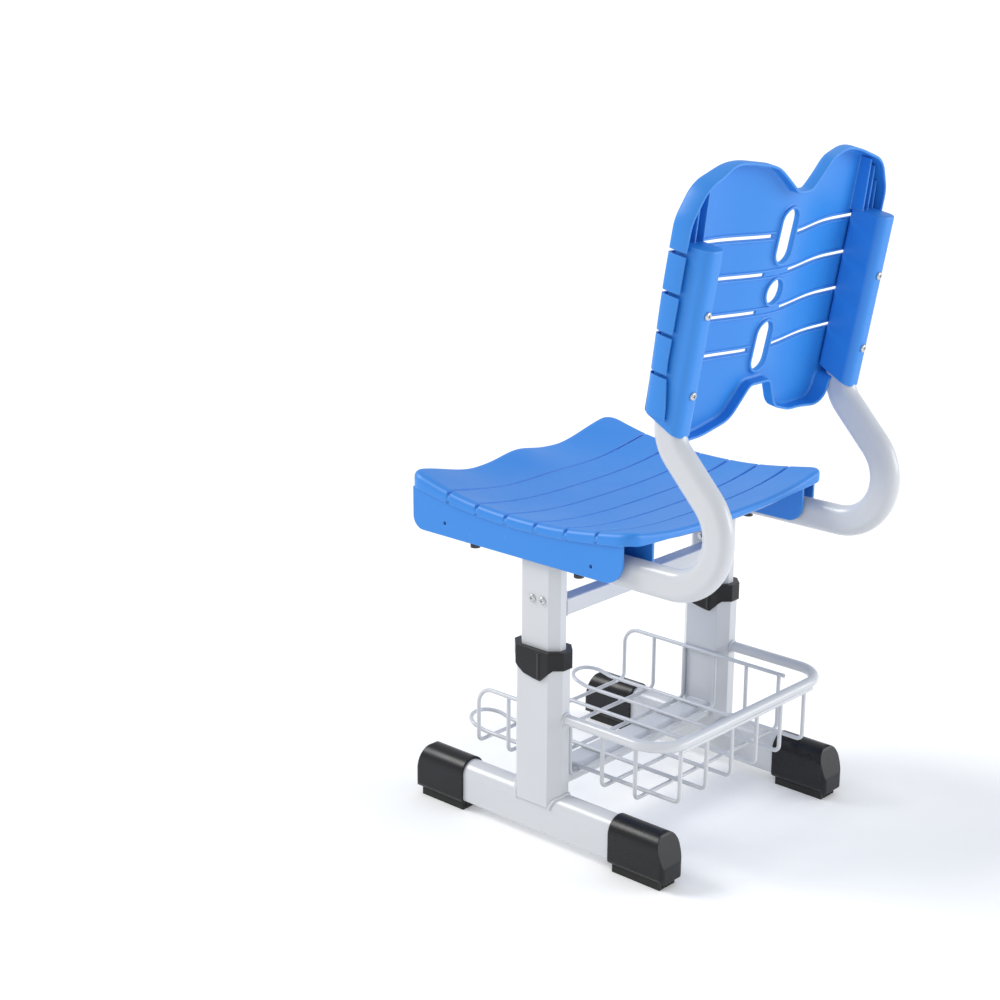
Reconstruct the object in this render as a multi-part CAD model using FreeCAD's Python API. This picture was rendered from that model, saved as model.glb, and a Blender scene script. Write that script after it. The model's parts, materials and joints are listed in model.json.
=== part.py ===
"""Height-adjustable student desk chair with a moulded seat and back, and a wire book basket.

Each sub-part is written to parts/NAME.step in millimetres. +Z is up, the sitter faces -Y and
+X is the sitter's left. The model is designed with Y = 0 midway along the feet, then moved so
that the origin is the bottom centre of the whole chair's box.
"""
import FreeCAD
import Part
import math
import os

V = FreeCAD.Vector

# ---- Driving dimensions, mm -------------------------------------------------------------
LEG_X = 162.0            # centre of each leg, either side of the middle
LEG_Y = -2.0             # centre of the uprights along the foot
CONTACT_GAP = 0.1        # clearance where one fixed piece is pushed into another

FOOT_LENGTH = 356.0      # steel tube of one foot
FOOT_WIDTH = 33.0
FOOT_HEIGHT = 51.0
FOOT_BASE_Z = 13.0       # underside of the foot tube
FOOT_WALL = 1.5
CAP_WALL = 3.0           # moulded end cap around the foot tube
CAP_COVER = 63.0         # how far a cap reaches along the foot
CAP_END = 16.5           # solid end of a cap beyond the tube
CAP_KNEE_Z = 28.0        # the end leans inwards above this height
CAP_CORNER_R = 6.0
CAP_RAKE = 12.0          # how far the top of a cap's end leans inwards
PAD_LENGTH = 69.0
PAD_WIDTH = 28.0
PAD_INSET = 7.5          # pad end to cap end
PAD_GROOVE = 2.2
PAD_PEG_R = 4.0

OUTER_X = 37.0           # lower, fixed upright: eight-sided tube
OUTER_Y = 71.0
OUTER_CHAMFER = 12.0
OUTER_WALL = 1.5
OUTER_TOP_Z = 239.8
INNER_X = 30.0           # upper, sliding upright
INNER_Y = 60.0
INNER_CHAMFER = 10.0
INNER_WALL = 1.5
INNER_BOTTOM_Z = 110.0
SLIDE_CLEARANCE = 0.35   # between the sliding upright and the collar, and the glide and the tube

COLLAR_WALL = 2.5
COLLAR_BASE_Z = 222.0
COLLAR_TOP_Z = 243.8
COLLAR_SHIELD_Z = 207.0  # lowest point of the shield on each side face
LOCK_PIN_R = 3.0
LOCK_PIN_Z = 214.0
SLIDE_DOWN = 30.0        # travel from the position shown
SLIDE_UP = 60.0

LOW_BAR_Y = 36.0         # flat crossbar under the basket
LOW_BAR_Z = 20.0
LOW_BAR_TOP_Z = 82.0
HIGH_BAR = 20.0          # square crossbar between the sliding uprights
HIGH_BAR_TOP_Z = 298.4
HIGH_BAR_Y = 8.0
BAR_WALL = 1.5
TAB_THICK = 3.0          # plate welded on each end of the high crossbar
TAB_HALF_Y = 16.0
TAB_RISE = 12.0
BAR_SCREW_R = 2.5
BAR_SCREW_PITCH = 15.3
BAR_SCREW_Z = 303.4
BAR_SCREW_Y = 1.6
SCREW_HEAD_R = 4.6
SCREW_HEAD_T = 2.8
NUT_AF = 8.0
NUT_T = 4.0

SIDE_DEPTH = 37.0        # flat-oval tube that carries the seat and back
SIDE_WIDTH = 23.5
SIDE_WALL = 1.5
SIDE_SEAT_Z = 360.0      # centre of the level run
SIDE_FRONT_Y = -150.0
SIDE_REAR_R = 60.0
SIDE_NECK_R = 46.0
SIDE_REAR_Y = 181.0      # where the level run ends and the rear bend starts
SIDE_SLOPE = 43.0        # forward lean of the sloping run, degrees from upright

BACK_LEAN = 10.2         # degrees
BACK_Y = 200.4           # a point on the rear line of the sleeves
BACK_Z = 572.0
SLEEVE_WALL = 3.0
SLEEVE_TOP = 157.0       # along the lean, from the point above
SLEEVE_BOTTOM = -47.0
SLEEVE_BOTTOM_FRONT = -31.0
SLEEVE_CAP = 3.5
SLEEVE_ROUND = 11.0
BACK_RIB_REAR = -32.0    # rear edge of the innermost rib above a sleeve
PANEL_T = 3.0
PANEL_MID = -35.2        # rear face of the panel, ahead of the sleeve's rear line, at the middle
PANEL_TILT = 0.0385      # how fast the middle comes back towards the top
PANEL_SIDE = -47.0
PANEL_CURVE_X = 122.0
RIM_T = 3.0
RIM_DEPTH = 13.0
RIM_SIDE_DEPTH = 22.0
SIDE_EDGE_X = 183.0      # side of the back near its top, drawn in towards its foot
SIDE_FOOT_X = 182.0
SLOT_H = 4.5
SLOT_FIRST = 16.0
SLOT_PITCH = 43.8
SLOT_COUNT = 4
SLOT_BRIDGE = 22.0
HOLE_W = 28.0
HOLE_RIM_T = 3.0
HOLE_RIM_DEPTH = 3.8
HOLES = [(146.0, 62.0), (82.0, 29.0), (18.5, 58.0)]      # place along the lean, height
BACK_SCREWS = (0.0, 88.0)
BACK_SCREW_R = 2.0

SEAT_HALF = 187.5
SEAT_FRONT = -197.0
SEAT_REAR = 144.0
SEAT_CORNER_R = 24.0
SEAT_LOW_Z = 383.0       # lowest point of the dished top
SEAT_LOW_Y = -15.0
SEAT_DISH = 15.5         # sides above the middle
SEAT_BOW = 6.2e-4        # rise towards front and rear, 1/mm
SEAT_DISH_POWER = 2.8
POMMEL = 8.0
POMMEL_X = 38.0
POMMEL_Y = 50.0
WING = 19.0              # raised front corners
WING_START_X = 74.0
WING_Y = 60.0
SEAT_EDGE = 13.0         # band over which the rim rolls down
SEAT_EDGE_DROP = 9.0
SEAT_T = 3.5
SKIRT_INSET = 2.5        # skirt face inside the seat's rim
SKIRT_BASE_Z = 350.0
SKIRT_FRONT = -190.0
SKIRT_REAR = 130.0
SKIRT_FRONT_R = 16.0
SKIRT_REAR_R = 25.0
CHANNEL_WALL_X = 143.0   # inner wall of the channel that holds the side tube
CHANNEL_FRONT = -180.0
CHANNEL_REAR = 140.0
FRONT_ROLL_Z = 381.0
REAR_ROLL_Z = 392.5
SIDE_LIP = [(SEAT_FRONT - 5, FRONT_ROLL_Z), (SEAT_FRONT + 4, FRONT_ROLL_Z), (SEAT_FRONT + 8, 402.0),
            (-160.0, 397.5), (-126.0, 391.5), (-85.0, 387.0), (-39.0, 385.0), (3.0, 385.8), (49.0, 388.3),
            (96.0, 392.2), (126.0, 396.0), (SEAT_REAR - 3, REAR_ROLL_Z), (SEAT_REAR + 5, REAR_ROLL_Z)]
GROOVE_W = 4.4
GROOVE_DEPTH = 2.5
GROOVE_FIRST = -131.0
GROOVE_PITCH = 45.0
GROOVE_COUNT = 6
RIB_STATIONS = (-165.0, -60.0, 0.0, 100.0)
SEAT_BOLT_R = 3.0
SEAT_BOLT_HEAD_R = 6.0
SEAT_BOLT_STATIONS = (-110.0, 50.0)
BOSS_R = 7.5
SKIRT_HOLE_R = 2.3
SKIRT_HOLES = [(-138.0, 366.0), (86.0, 364.0)]

WIRE_R = 2.5
WIRE_BEND = 8.0
FRAME_R = 6.5            # thick tube that the basket hangs from
FRAME_Z = 160.0
FRAME_REAR_Y = 176.0
FRAME_BEND = 40.0
CROSS_WIRES = 6
CROSS_FIRST = -124.0
CROSS_PITCH = 49.0
LONG_WIRES = 6
LONG_PITCH = 49.0
LOOP_FRONT_Y = -168.0
LOOP_BEND_Y = -132.0     # the front of the floor wires rises from here
LOOP_RISE = 8.0
RAIL_BEND = 22.0

# ---- Values worked out from the driving dimensions --------------------------------------
LEAN = math.radians(BACK_LEAN)
BACK_UP = V(0, math.sin(LEAN), math.cos(LEAN))
BACK_REARWARD = V(0, math.cos(LEAN), -math.sin(LEAN))
TUBE_IN_SLEEVE = -(SLEEVE_WALL + SIDE_DEPTH / 2)
OUTER_INSIDE_X = LEG_X - OUTER_X / 2
OUTER_REAR_Y = LEG_Y + OUTER_Y / 2
INNER_INSIDE_X = LEG_X - INNER_X / 2
SEAT_TUBE_TOP_Z = SIDE_SEAT_Z + SIDE_DEPTH / 2
SEAT_TUBE_BOTTOM_Z = SIDE_SEAT_Z - SIDE_DEPTH / 2
SIDE_REAR_EXTENT = SIDE_REAR_Y + SIDE_REAR_R + SIDE_DEPTH / 2
CENTRE_Y = (SIDE_REAR_EXTENT + SEAT_FRONT) / 2
LONG_Z = LOW_BAR_TOP_Z + WIRE_R
CROSS_Z = LONG_Z - 2 * WIRE_R
SIDE_WALL_X = OUTER_INSIDE_X - WIRE_R
RAIL_Z = FRAME_Z - FRAME_R - WIRE_R

SHAPES = {}


# ---- Helpers ----------------------------------------------------------------------------
def box(x0, x1, y0, y1, z0, z1):
    """Box between opposite corners, given in any order."""
    low = V(min(x0, x1), min(y0, y1), min(z0, z1))
    return Part.makeBox(abs(x1 - x0), abs(y1 - y0), abs(z1 - z0), low)


def cylinder(radius, start, end):
    """Cylinder from one point to another."""
    axis = end - start
    return Part.makeCylinder(radius, axis.Length, start, axis)


def prism(points, direction):
    """Polygon pushed along a direction."""
    return Part.Face(Part.makePolygon(points + points[:1])).extrude(direction)


def octagon(x, y, width_x, width_y, chamfer, z0, z1):
    """Upright eight-sided bar."""
    hx, hy = width_x / 2, width_y / 2
    corners = [(hx, hy - chamfer), (hx - chamfer, hy), (chamfer - hx, hy), (-hx, hy - chamfer),
               (-hx, chamfer - hy), (chamfer - hx, -hy), (hx - chamfer, -hy), (hx, chamfer - hy)]
    points = [V(x + a, y + b, z0) for a, b in corners]
    return prism(points, V(0, 0, z1 - z0))


def grown_chamfer(chamfer, offset):
    """Chamfer leg of an eight-sided bar grown by an offset on every face."""
    return chamfer + offset * (2 - math.sqrt(2))


def octagon_tube(x, y, width_x, width_y, chamfer, wall, z0, z1):
    """Hollow eight-sided bar."""
    bore = octagon(x, y, width_x - 2 * wall, width_y - 2 * wall,
                   grown_chamfer(chamfer, -wall), z0, z1)
    return octagon(x, y, width_x, width_y, chamfer, z0, z1).cut(bore)


def loaf(x, width, height, base_z, y0, y1, corner=4.0):
    """Bar along Y with a half-round top and small rounds below."""
    r = width / 2
    top = base_z + height - r
    k = corner * (1 - math.sqrt(0.5))
    edges = [
        Part.makeLine(V(x - r, y0, top), V(x - r, y0, base_z + corner)),
        Part.Arc(V(x - r, y0, base_z + corner), V(x - r + k, y0, base_z + k),
                 V(x - r + corner, y0, base_z)).toShape(),
        Part.makeLine(V(x - r + corner, y0, base_z), V(x + r - corner, y0, base_z)),
        Part.Arc(V(x + r - corner, y0, base_z), V(x + r - k, y0, base_z + k),
                 V(x + r, y0, base_z + corner)).toShape(),
        Part.makeLine(V(x + r, y0, base_z + corner), V(x + r, y0, top)),
        Part.Arc(V(x + r, y0, top), V(x, y0, top + r), V(x - r, y0, top)).toShape(),
    ]
    return Part.Face(Part.Wire(edges)).extrude(V(0, y1 - y0, 0))


def stadium_wire(centre, wide, deep, side, along):
    """Flat-oval outline. side and along are unit vectors of its short and long axes."""
    r = wide / 2
    h = deep / 2 - r
    a, b = centre + along * h, centre - along * h
    return Part.Wire([
        Part.makeLine(b + side * r, a + side * r),
        Part.Arc(a + side * r, a + along * r, a - side * r).toShape(),
        Part.makeLine(a - side * r, b - side * r),
        Part.Arc(b - side * r, b - along * r, b + side * r).toShape(),
    ])


def stadium_prism(centre, wide, deep, side, along, push):
    """Flat-oval bar."""
    return Part.Face(stadium_wire(centre, wide, deep, side, along)).extrude(push)


def rounded_path(points, radii):
    """Wire of straight runs joined by tangent arcs, one radius for each inner point."""
    edges = []
    start = points[0]
    for i in range(1, len(points) - 1):
        into = (points[i] - points[i - 1]).normalize()
        out = (points[i + 1] - points[i]).normalize()
        half = into.getAngle(out) / 2
        reach = radii[i - 1] * math.tan(half)
        a, b = points[i] - into * reach, points[i] + out * reach
        inward = (out - into).normalize()
        middle = points[i] + inward * (radii[i - 1] * (1 / math.cos(half) - 1))
        edges.append(Part.makeLine(start, a))
        edges.append(Part.Arc(a, middle, b).toShape())
        start = b
    edges.append(Part.makeLine(start, points[-1]))
    return Part.Wire(edges)


def rounded_polygon(points, radii):
    """Closed outline with a radius at each corner."""
    start = (points[0] + points[-1]) * 0.5
    return rounded_path([start] + points + [start], radii)


def pipe(path, profile):
    """Profile swept along a path."""
    return path.makePipeShell([profile], True, False)


def wire_rod(points, radii, radius):
    """Round rod along a rounded path."""
    path = rounded_path(points, radii)
    direction = (points[1] - points[0]).normalize()
    profile = Part.Wire(Part.makeCircle(radius, points[0], direction))
    return pipe(path, profile)


def sides():
    """Both legs: name and sign of X."""
    return (("left", 1), ("right", -1))


def add(name, shape):
    """Keep a finished piece under its name."""
    SHAPES[name] = shape


# ---- Feet -------------------------------------------------------------------------------
def foot_solid(x, offset=0.0, y0=-FOOT_LENGTH / 2, y1=FOOT_LENGTH / 2):
    """Outer shape of a foot tube, grown by an offset."""
    return loaf(x, FOOT_WIDTH + 2 * offset, FOOT_HEIGHT + 2 * offset, FOOT_BASE_Z - offset,
                y0, y1, 4.0 + offset)


def foot_tube(x):
    return foot_solid(x).cut(foot_solid(x, -FOOT_WALL))


def foot_cap(x, end):
    """Moulded cap over one end of a foot; end is -1 in front and 1 behind."""
    tube_end = end * FOOT_LENGTH / 2
    outer_end = tube_end + end * CAP_END
    inner_end = outer_end - end * (CAP_COVER + CAP_END)
    beyond = inner_end - end * 5
    cap = foot_solid(x, CAP_WALL, min(inner_end, outer_end), max(inner_end, outer_end))
    top = FOOT_BASE_Z + FOOT_HEIGHT + CAP_WALL
    half = FOOT_WIDTH / 2 + CAP_WALL
    left = x - half - 1
    side_view = rounded_polygon([V(left, beyond, -5), V(left, outer_end, -5), V(left, outer_end, CAP_KNEE_Z),
                                 V(left, outer_end - end * CAP_RAKE, top), V(left, beyond, top)],
                                [1, 1, 15, 6, 1])
    plan = rounded_polygon([V(x - half, beyond, 0), V(x + half, beyond, 0), V(x + half, outer_end, 0),
                            V(x - half, outer_end, 0)], [1, 1, CAP_CORNER_R, CAP_CORNER_R])
    cap = cap.common(Part.Face(side_view).extrude(V(2 * half + 2, 0, 0)))
    cap = cap.common(Part.Face(plan).extrude(V(0, 0, top + 1)))
    cap = cap.cut(foot_solid(x, 0.0, min(beyond, tube_end), max(beyond, tube_end)))
    for peg_y in peg_places(end):
        cap = cap.cut(cylinder(PAD_PEG_R + CONTACT_GAP, V(x, peg_y, 0), V(x, peg_y, FOOT_BASE_Z)))
    return cap


def pad_span(end):
    """Near and far Y of a pad."""
    far = end * (FOOT_LENGTH / 2 + CAP_END - PAD_INSET)
    return far - end * PAD_LENGTH, far


def peg_places(end):
    near, far = pad_span(end)
    quarter = (far - near) / 4
    return (near + quarter, far - quarter)


def foot_pad(x, end):
    """Rubber block under a cap, grooved on its ends, with two pegs up into the cap."""
    near, far = pad_span(end)
    top = FOOT_BASE_Z - CAP_WALL
    half = PAD_WIDTH / 2
    pad = box(x - half, x + half, near, far, 0, top)
    pitch = PAD_WIDTH / 5
    for face in (near, far):
        for i in range(4):
            groove_x = x - half + pitch * (i + 1)
            pad = pad.cut(box(groove_x - 0.8, groove_x + 0.8, face - PAD_GROOVE / 2,
                              face + PAD_GROOVE / 2, 0, top))
    for peg_y in peg_places(end):
        pad = pad.fuse(cylinder(PAD_PEG_R, V(x, peg_y, top), V(x, peg_y, FOOT_BASE_Z)))
    return pad.removeSplitter()


def make_feet():
    for side, s in sides():
        add(side + "_foot_tube", foot_tube(s * LEG_X))
        for name, end in (("front", -1), ("rear", 1)):
            add(side + "_" + name + "_foot_cap", foot_cap(s * LEG_X, end))
            add(side + "_" + name + "_foot_pad", foot_pad(s * LEG_X, end))


# ---- Uprights, collars and crossbars ----------------------------------------------------
def outer_upright(s):
    """Fixed tube, notched at the bottom to sit over the foot."""
    x = s * LEG_X
    tube = octagon_tube(x, LEG_Y, OUTER_X, OUTER_Y, OUTER_CHAMFER, OUTER_WALL,
                        FOOT_BASE_Z + FOOT_HEIGHT - FOOT_WIDTH / 2 + 2.0, OUTER_TOP_Z)
    tube = tube.cut(foot_solid(x))
    hole = cylinder(LOCK_PIN_R + CONTACT_GAP, V(s * (OUTER_INSIDE_X - 5), LEG_Y, LOCK_PIN_Z),
                    V(s * (OUTER_INSIDE_X + 5), LEG_Y, LOCK_PIN_Z))
    return tube.cut(hole)


def inner_upright(s, side_tube_outer):
    """Sliding tube, coped over the side tube, with a slot for the lock pin."""
    x = s * LEG_X
    tube = octagon_tube(x, LEG_Y, INNER_X, INNER_Y, INNER_CHAMFER, INNER_WALL,
                        INNER_BOTTOM_Z, SEAT_TUBE_BOTTOM_Z + 7.0)
    tube = tube.cut(side_tube_outer)
    slot_r = LOCK_PIN_R + 0.6
    slot = stadium_prism(V(s * (INNER_INSIDE_X - 4), LEG_Y, LOCK_PIN_Z + (SLIDE_DOWN - SLIDE_UP) / 2),
                         2 * slot_r, SLIDE_DOWN + SLIDE_UP + 2 * slot_r, V(0, 1, 0), V(0, 0, 1),
                         V(s * 8, 0, 0))
    tube = tube.cut(slot)
    for y in bar_screw_places():
        tube = tube.cut(cylinder(BAR_SCREW_R + CONTACT_GAP, V(x - INNER_X, y, BAR_SCREW_Z),
                                 V(x + INNER_X, y, BAR_SCREW_Z)))
    return tube


def upright_glide(x):
    """Moulded plug in the bottom of the sliding tube that guides it in the fixed one."""
    flange = octagon(x, LEG_Y, OUTER_X - 2 * (OUTER_WALL + SLIDE_CLEARANCE),
                     OUTER_Y - 2 * (OUTER_WALL + SLIDE_CLEARANCE),
                     grown_chamfer(OUTER_CHAMFER, -OUTER_WALL - SLIDE_CLEARANCE),
                     INNER_BOTTOM_Z - 6, INNER_BOTTOM_Z)
    inset = INNER_WALL + CONTACT_GAP
    plug = octagon(x, LEG_Y, INNER_X - 2 * inset, INNER_Y - 2 * inset,
                   grown_chamfer(INNER_CHAMFER, -inset), INNER_BOTTOM_Z, INNER_BOTTOM_Z + 18)
    hollow = octagon(x, LEG_Y, INNER_X - 2 * inset - 5, INNER_Y - 2 * inset - 5,
                     grown_chamfer(INNER_CHAMFER, -inset - 2.5),
                     INNER_BOTTOM_Z - 4, INNER_BOTTOM_Z + 18)
    return flange.fuse(plug).cut(hollow).removeSplitter()


def collar(x):
    """Moulded ring over the top of the fixed tube, with a shield on each side face."""
    wide, deep = OUTER_X + 2 * COLLAR_WALL, OUTER_Y + 2 * COLLAR_WALL
    chamfer = grown_chamfer(OUTER_CHAMFER, COLLAR_WALL)
    body = octagon(x, LEG_Y, wide, deep, chamfer, COLLAR_SHIELD_Z, COLLAR_TOP_Z)
    reach = wide / 2 + 5
    flat = deep / 2 - chamfer
    shape = [V(x - reach, LEG_Y - deep, COLLAR_SHIELD_Z - 5),
             V(x - reach, LEG_Y - deep, COLLAR_BASE_Z + 5),
             V(x - reach, LEG_Y - flat - 6, COLLAR_BASE_Z + 5),
             V(x - reach, LEG_Y - flat + 3, COLLAR_BASE_Z - 5),
             V(x - reach, LEG_Y - flat + 12, COLLAR_SHIELD_Z + 4),
             V(x - reach, LEG_Y + 3, COLLAR_SHIELD_Z + 1),
             V(x - reach, LEG_Y + 13, COLLAR_SHIELD_Z),
             V(x - reach, LEG_Y + flat + 4, COLLAR_BASE_Z),
             V(x - reach, LEG_Y + deep, COLLAR_BASE_Z),
             V(x - reach, LEG_Y + deep, COLLAR_SHIELD_Z - 5)]
    body = body.cut(prism(shape, V(2 * reach, 0, 0)))
    end_faces = box(x - wide / 2 + chamfer, x + wide / 2 - chamfer, LEG_Y - deep, LEG_Y + deep,
                    COLLAR_SHIELD_Z - 5, COLLAR_BASE_Z)
    body = body.cut(end_faces)
    ridge_y = LEG_Y + 11
    for side in (-1, 1):
        face = x + side * wide / 2
        body = body.fuse(prism([V(face, ridge_y - 3, COLLAR_SHIELD_Z + 3),
                                V(face + side * 1.4, ridge_y, COLLAR_SHIELD_Z + 3),
                                V(face, ridge_y + 3, COLLAR_SHIELD_Z + 3)],
                               V(0, 0, COLLAR_TOP_Z - COLLAR_SHIELD_Z - 6)))
    body = body.cut(octagon(x, LEG_Y, OUTER_X, OUTER_Y, OUTER_CHAMFER, COLLAR_SHIELD_Z - 5,
                            OUTER_TOP_Z))
    gap = SLIDE_CLEARANCE
    body = body.cut(octagon(x, LEG_Y, INNER_X + 2 * gap, INNER_Y + 2 * gap,
                            grown_chamfer(INNER_CHAMFER, gap), OUTER_TOP_Z - 1, COLLAR_TOP_Z + 1))
    return body.removeSplitter()


def lock_pin(s):
    """Steel pin behind the collar's shield that keys into the sliding tube's slot."""
    head = cylinder(LOCK_PIN_R + 1.5, V(s * (OUTER_INSIDE_X + OUTER_WALL), LEG_Y, LOCK_PIN_Z),
                    V(s * (OUTER_INSIDE_X + OUTER_WALL + 1.2), LEG_Y, LOCK_PIN_Z))
    shank = cylinder(LOCK_PIN_R, V(s * OUTER_INSIDE_X, LEG_Y, LOCK_PIN_Z),
                     V(s * (INNER_INSIDE_X + INNER_WALL + 1.0), LEG_Y, LOCK_PIN_Z))
    return head.fuse(shank).removeSplitter()


def rounded_bar(half_length, y, width_y, top_z, height, corner, wall):
    """Rectangular tube along X with rounded corners."""
    def solid(inset):
        bar = box(-half_length, half_length, y - width_y / 2 + inset, y + width_y / 2 - inset,
                  top_z - height + inset, top_z - inset)
        along = [e for e in bar.Edges if abs(e.BoundBox.XLength - 2 * half_length) < 0.01]
        return bar.makeFillet(max(corner - inset, 0.8), along)
    return solid(0.0).cut(solid(wall))


def bar_screw_places():
    return (BAR_SCREW_Y - BAR_SCREW_PITCH / 2, BAR_SCREW_Y + BAR_SCREW_PITCH / 2)


def crossbar_tab(s):
    """End plate of the high crossbar, bolted to the sliding upright."""
    x0, x1 = s * INNER_INSIDE_X, s * (INNER_INSIDE_X - TAB_THICK)
    plate = box(x0, x1, BAR_SCREW_Y - TAB_HALF_Y, BAR_SCREW_Y + TAB_HALF_Y,
                HIGH_BAR_TOP_Z - HIGH_BAR, HIGH_BAR_TOP_Z + TAB_RISE)
    for y in bar_screw_places():
        plate = plate.cut(cylinder(BAR_SCREW_R + CONTACT_GAP, V(s * INNER_INSIDE_X + s * 5, y, BAR_SCREW_Z),
                                   V(s * INNER_INSIDE_X - s * 9, y, BAR_SCREW_Z)))
    return plate


def pan_head(centre, out, radius=SCREW_HEAD_R, thick=SCREW_HEAD_T):
    """Cross-recessed pan head standing on a surface."""
    head = cylinder(radius, centre, centre + out * thick)
    rim = [e for e in head.Edges if len(e.Vertexes) == 1
           and abs((e.BoundBox.Center - (centre + out * thick)).Length) < 0.1]
    head = head.makeFillet(thick * 0.62, rim)
    across = out.cross(V(0, 0, 1)).normalize()
    other = out.cross(across).normalize()
    tip = centre + out * (thick * 0.35)
    for a, b in ((across, other), (other, across)):
        arm = prism([tip + a * 2.4 + b * 0.55, tip - a * 2.4 + b * 0.55,
                     tip - a * 2.4 - b * 0.55, tip + a * 2.4 - b * 0.55], out * thick)
        head = head.cut(arm)
    return head


def crossbar_screws():
    """Long pan-head screws through both walls of each sliding upright."""
    out = []
    for _, s in sides():
        face = s * (LEG_X + INNER_X / 2)
        for y in bar_screw_places():
            inward = s * (INNER_INSIDE_X - TAB_THICK - NUT_T - 2.0)
            shank = cylinder(BAR_SCREW_R, V(face, y, BAR_SCREW_Z), V(inward, y, BAR_SCREW_Z))
            out.append(pan_head(V(face, y, BAR_SCREW_Z), V(s, 0, 0)).fuse(shank).removeSplitter())
    return Part.makeCompound(out)


def crossbar_nuts():
    out = []
    for _, s in sides():
        start = s * (INNER_INSIDE_X - TAB_THICK)
        for y in bar_screw_places():
            points = []
            for i in range(6):
                angle = math.radians(60 * i + 30)
                reach = NUT_AF / math.sqrt(3)
                points.append(V(start, y + reach * math.cos(angle), BAR_SCREW_Z + reach * math.sin(angle)))
            nut = prism(points, V(-s * NUT_T, 0, 0))
            out.append(nut.cut(cylinder(BAR_SCREW_R, V(start + s, y, BAR_SCREW_Z),
                                        V(start - s * (NUT_T + 1), y, BAR_SCREW_Z))))
    return Part.makeCompound(out)


def make_legs(side_tube_outers):
    for side, s in sides():
        add(side + "_outer_upright", outer_upright(s))
        add(side + "_collar", collar(s * LEG_X))
        add(side + "_lock_pin", lock_pin(s))
        add(side + "_inner_upright", inner_upright(s, side_tube_outers[side]))
        add(side + "_upright_glide", upright_glide(s * LEG_X))
        add(side + "_crossbar_tab", crossbar_tab(s))
    add("lower_crossbar", rounded_bar(OUTER_INSIDE_X, LEG_Y, LOW_BAR_Y, LOW_BAR_TOP_Z, LOW_BAR_Z,
                                      7.0, BAR_WALL))
    add("upper_crossbar", rounded_bar(INNER_INSIDE_X - TAB_THICK, HIGH_BAR_Y, HIGH_BAR, HIGH_BAR_TOP_Z,
                                      HIGH_BAR, 2.5, BAR_WALL))
    add("crossbar_screws", crossbar_screws())
    add("crossbar_nuts", crossbar_nuts())


# ---- Side tubes -------------------------------------------------------------------------
def back_point(x, rearward, up):
    """Point in the back's own frame: rearward from the sleeve's rear line, up along the lean."""
    return V(x, BACK_Y, BACK_Z) + BACK_REARWARD * rearward + BACK_UP * up


def side_path(x):
    """Centre line of a side tube: level, up round the rear bend, forward, then up the back."""
    slope = math.radians(SIDE_SLOPE)
    forward_up = V(0, -math.sin(slope), math.cos(slope))
    leave = V(x, SIDE_REAR_Y + SIDE_REAR_R * math.cos(slope),
              SIDE_SEAT_Z + SIDE_REAR_R + SIDE_REAR_R * math.sin(slope))
    corner_low = leave + forward_up * ((SIDE_SEAT_Z - leave.z) / forward_up.z)
    on_back = back_point(x, TUBE_IN_SLEEVE, 0)
    gap = on_back - leave
    cross = forward_up.y * BACK_UP.z - forward_up.z * BACK_UP.y
    reach = (gap.y * BACK_UP.z - gap.z * BACK_UP.y) / cross
    corner_high = leave + forward_up * reach
    top = back_point(x, TUBE_IN_SLEEVE, SLEEVE_TOP - SLEEVE_CAP - 2.0)
    return rounded_path([V(x, SIDE_FRONT_Y, SIDE_SEAT_Z), corner_low, corner_high, top],
                        [SIDE_REAR_R, SIDE_NECK_R])


def side_solid(x, inset=0.0):
    """Side tube's outer shape, shrunk by an inset."""
    profile = stadium_wire(V(x, SIDE_FRONT_Y, SIDE_SEAT_Z), SIDE_WIDTH - 2 * inset,
                           SIDE_DEPTH - 2 * inset, V(1, 0, 0), V(0, 0, 1))
    return pipe(side_path(x), profile)


def seat_bolt_axis(s, y, low, high, radius):
    return cylinder(radius, V(s * LEG_X, y, low), V(s * LEG_X, y, high))


def side_tube(s, outer):
    tube = outer.cut(side_solid(s * LEG_X, SIDE_WALL))
    for y in SEAT_BOLT_STATIONS:
        tube = tube.cut(seat_bolt_axis(s, y, SEAT_TUBE_BOTTOM_Z - 5, SEAT_TUBE_TOP_Z + 5,
                                       SEAT_BOLT_R + CONTACT_GAP))
    for up in BACK_SCREWS:
        tube = tube.cut(cylinder(BACK_SCREW_R, back_point(s * LEG_X, 0, up),
                                 back_point(s * LEG_X, -SLEEVE_WALL - 12, up)))
    return tube


def tube_plug(x):
    """Moulded plug in the front end of a side tube."""
    flange = stadium_prism(V(x, SIDE_FRONT_Y, SIDE_SEAT_Z), SIDE_WIDTH, SIDE_DEPTH, V(1, 0, 0),
                           V(0, 0, 1), V(0, -3, 0))
    inset = SIDE_WALL + CONTACT_GAP
    stem = stadium_prism(V(x, SIDE_FRONT_Y, SIDE_SEAT_Z), SIDE_WIDTH - 2 * inset,
                         SIDE_DEPTH - 2 * inset, V(1, 0, 0), V(0, 0, 1), V(0, 14, 0))
    return flange.fuse(stem).removeSplitter()


# ---- Seat -------------------------------------------------------------------------------
def seat_middle_z(y):
    return SEAT_LOW_Z + SEAT_BOW * (y - SEAT_LOW_Y) ** 2


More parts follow.
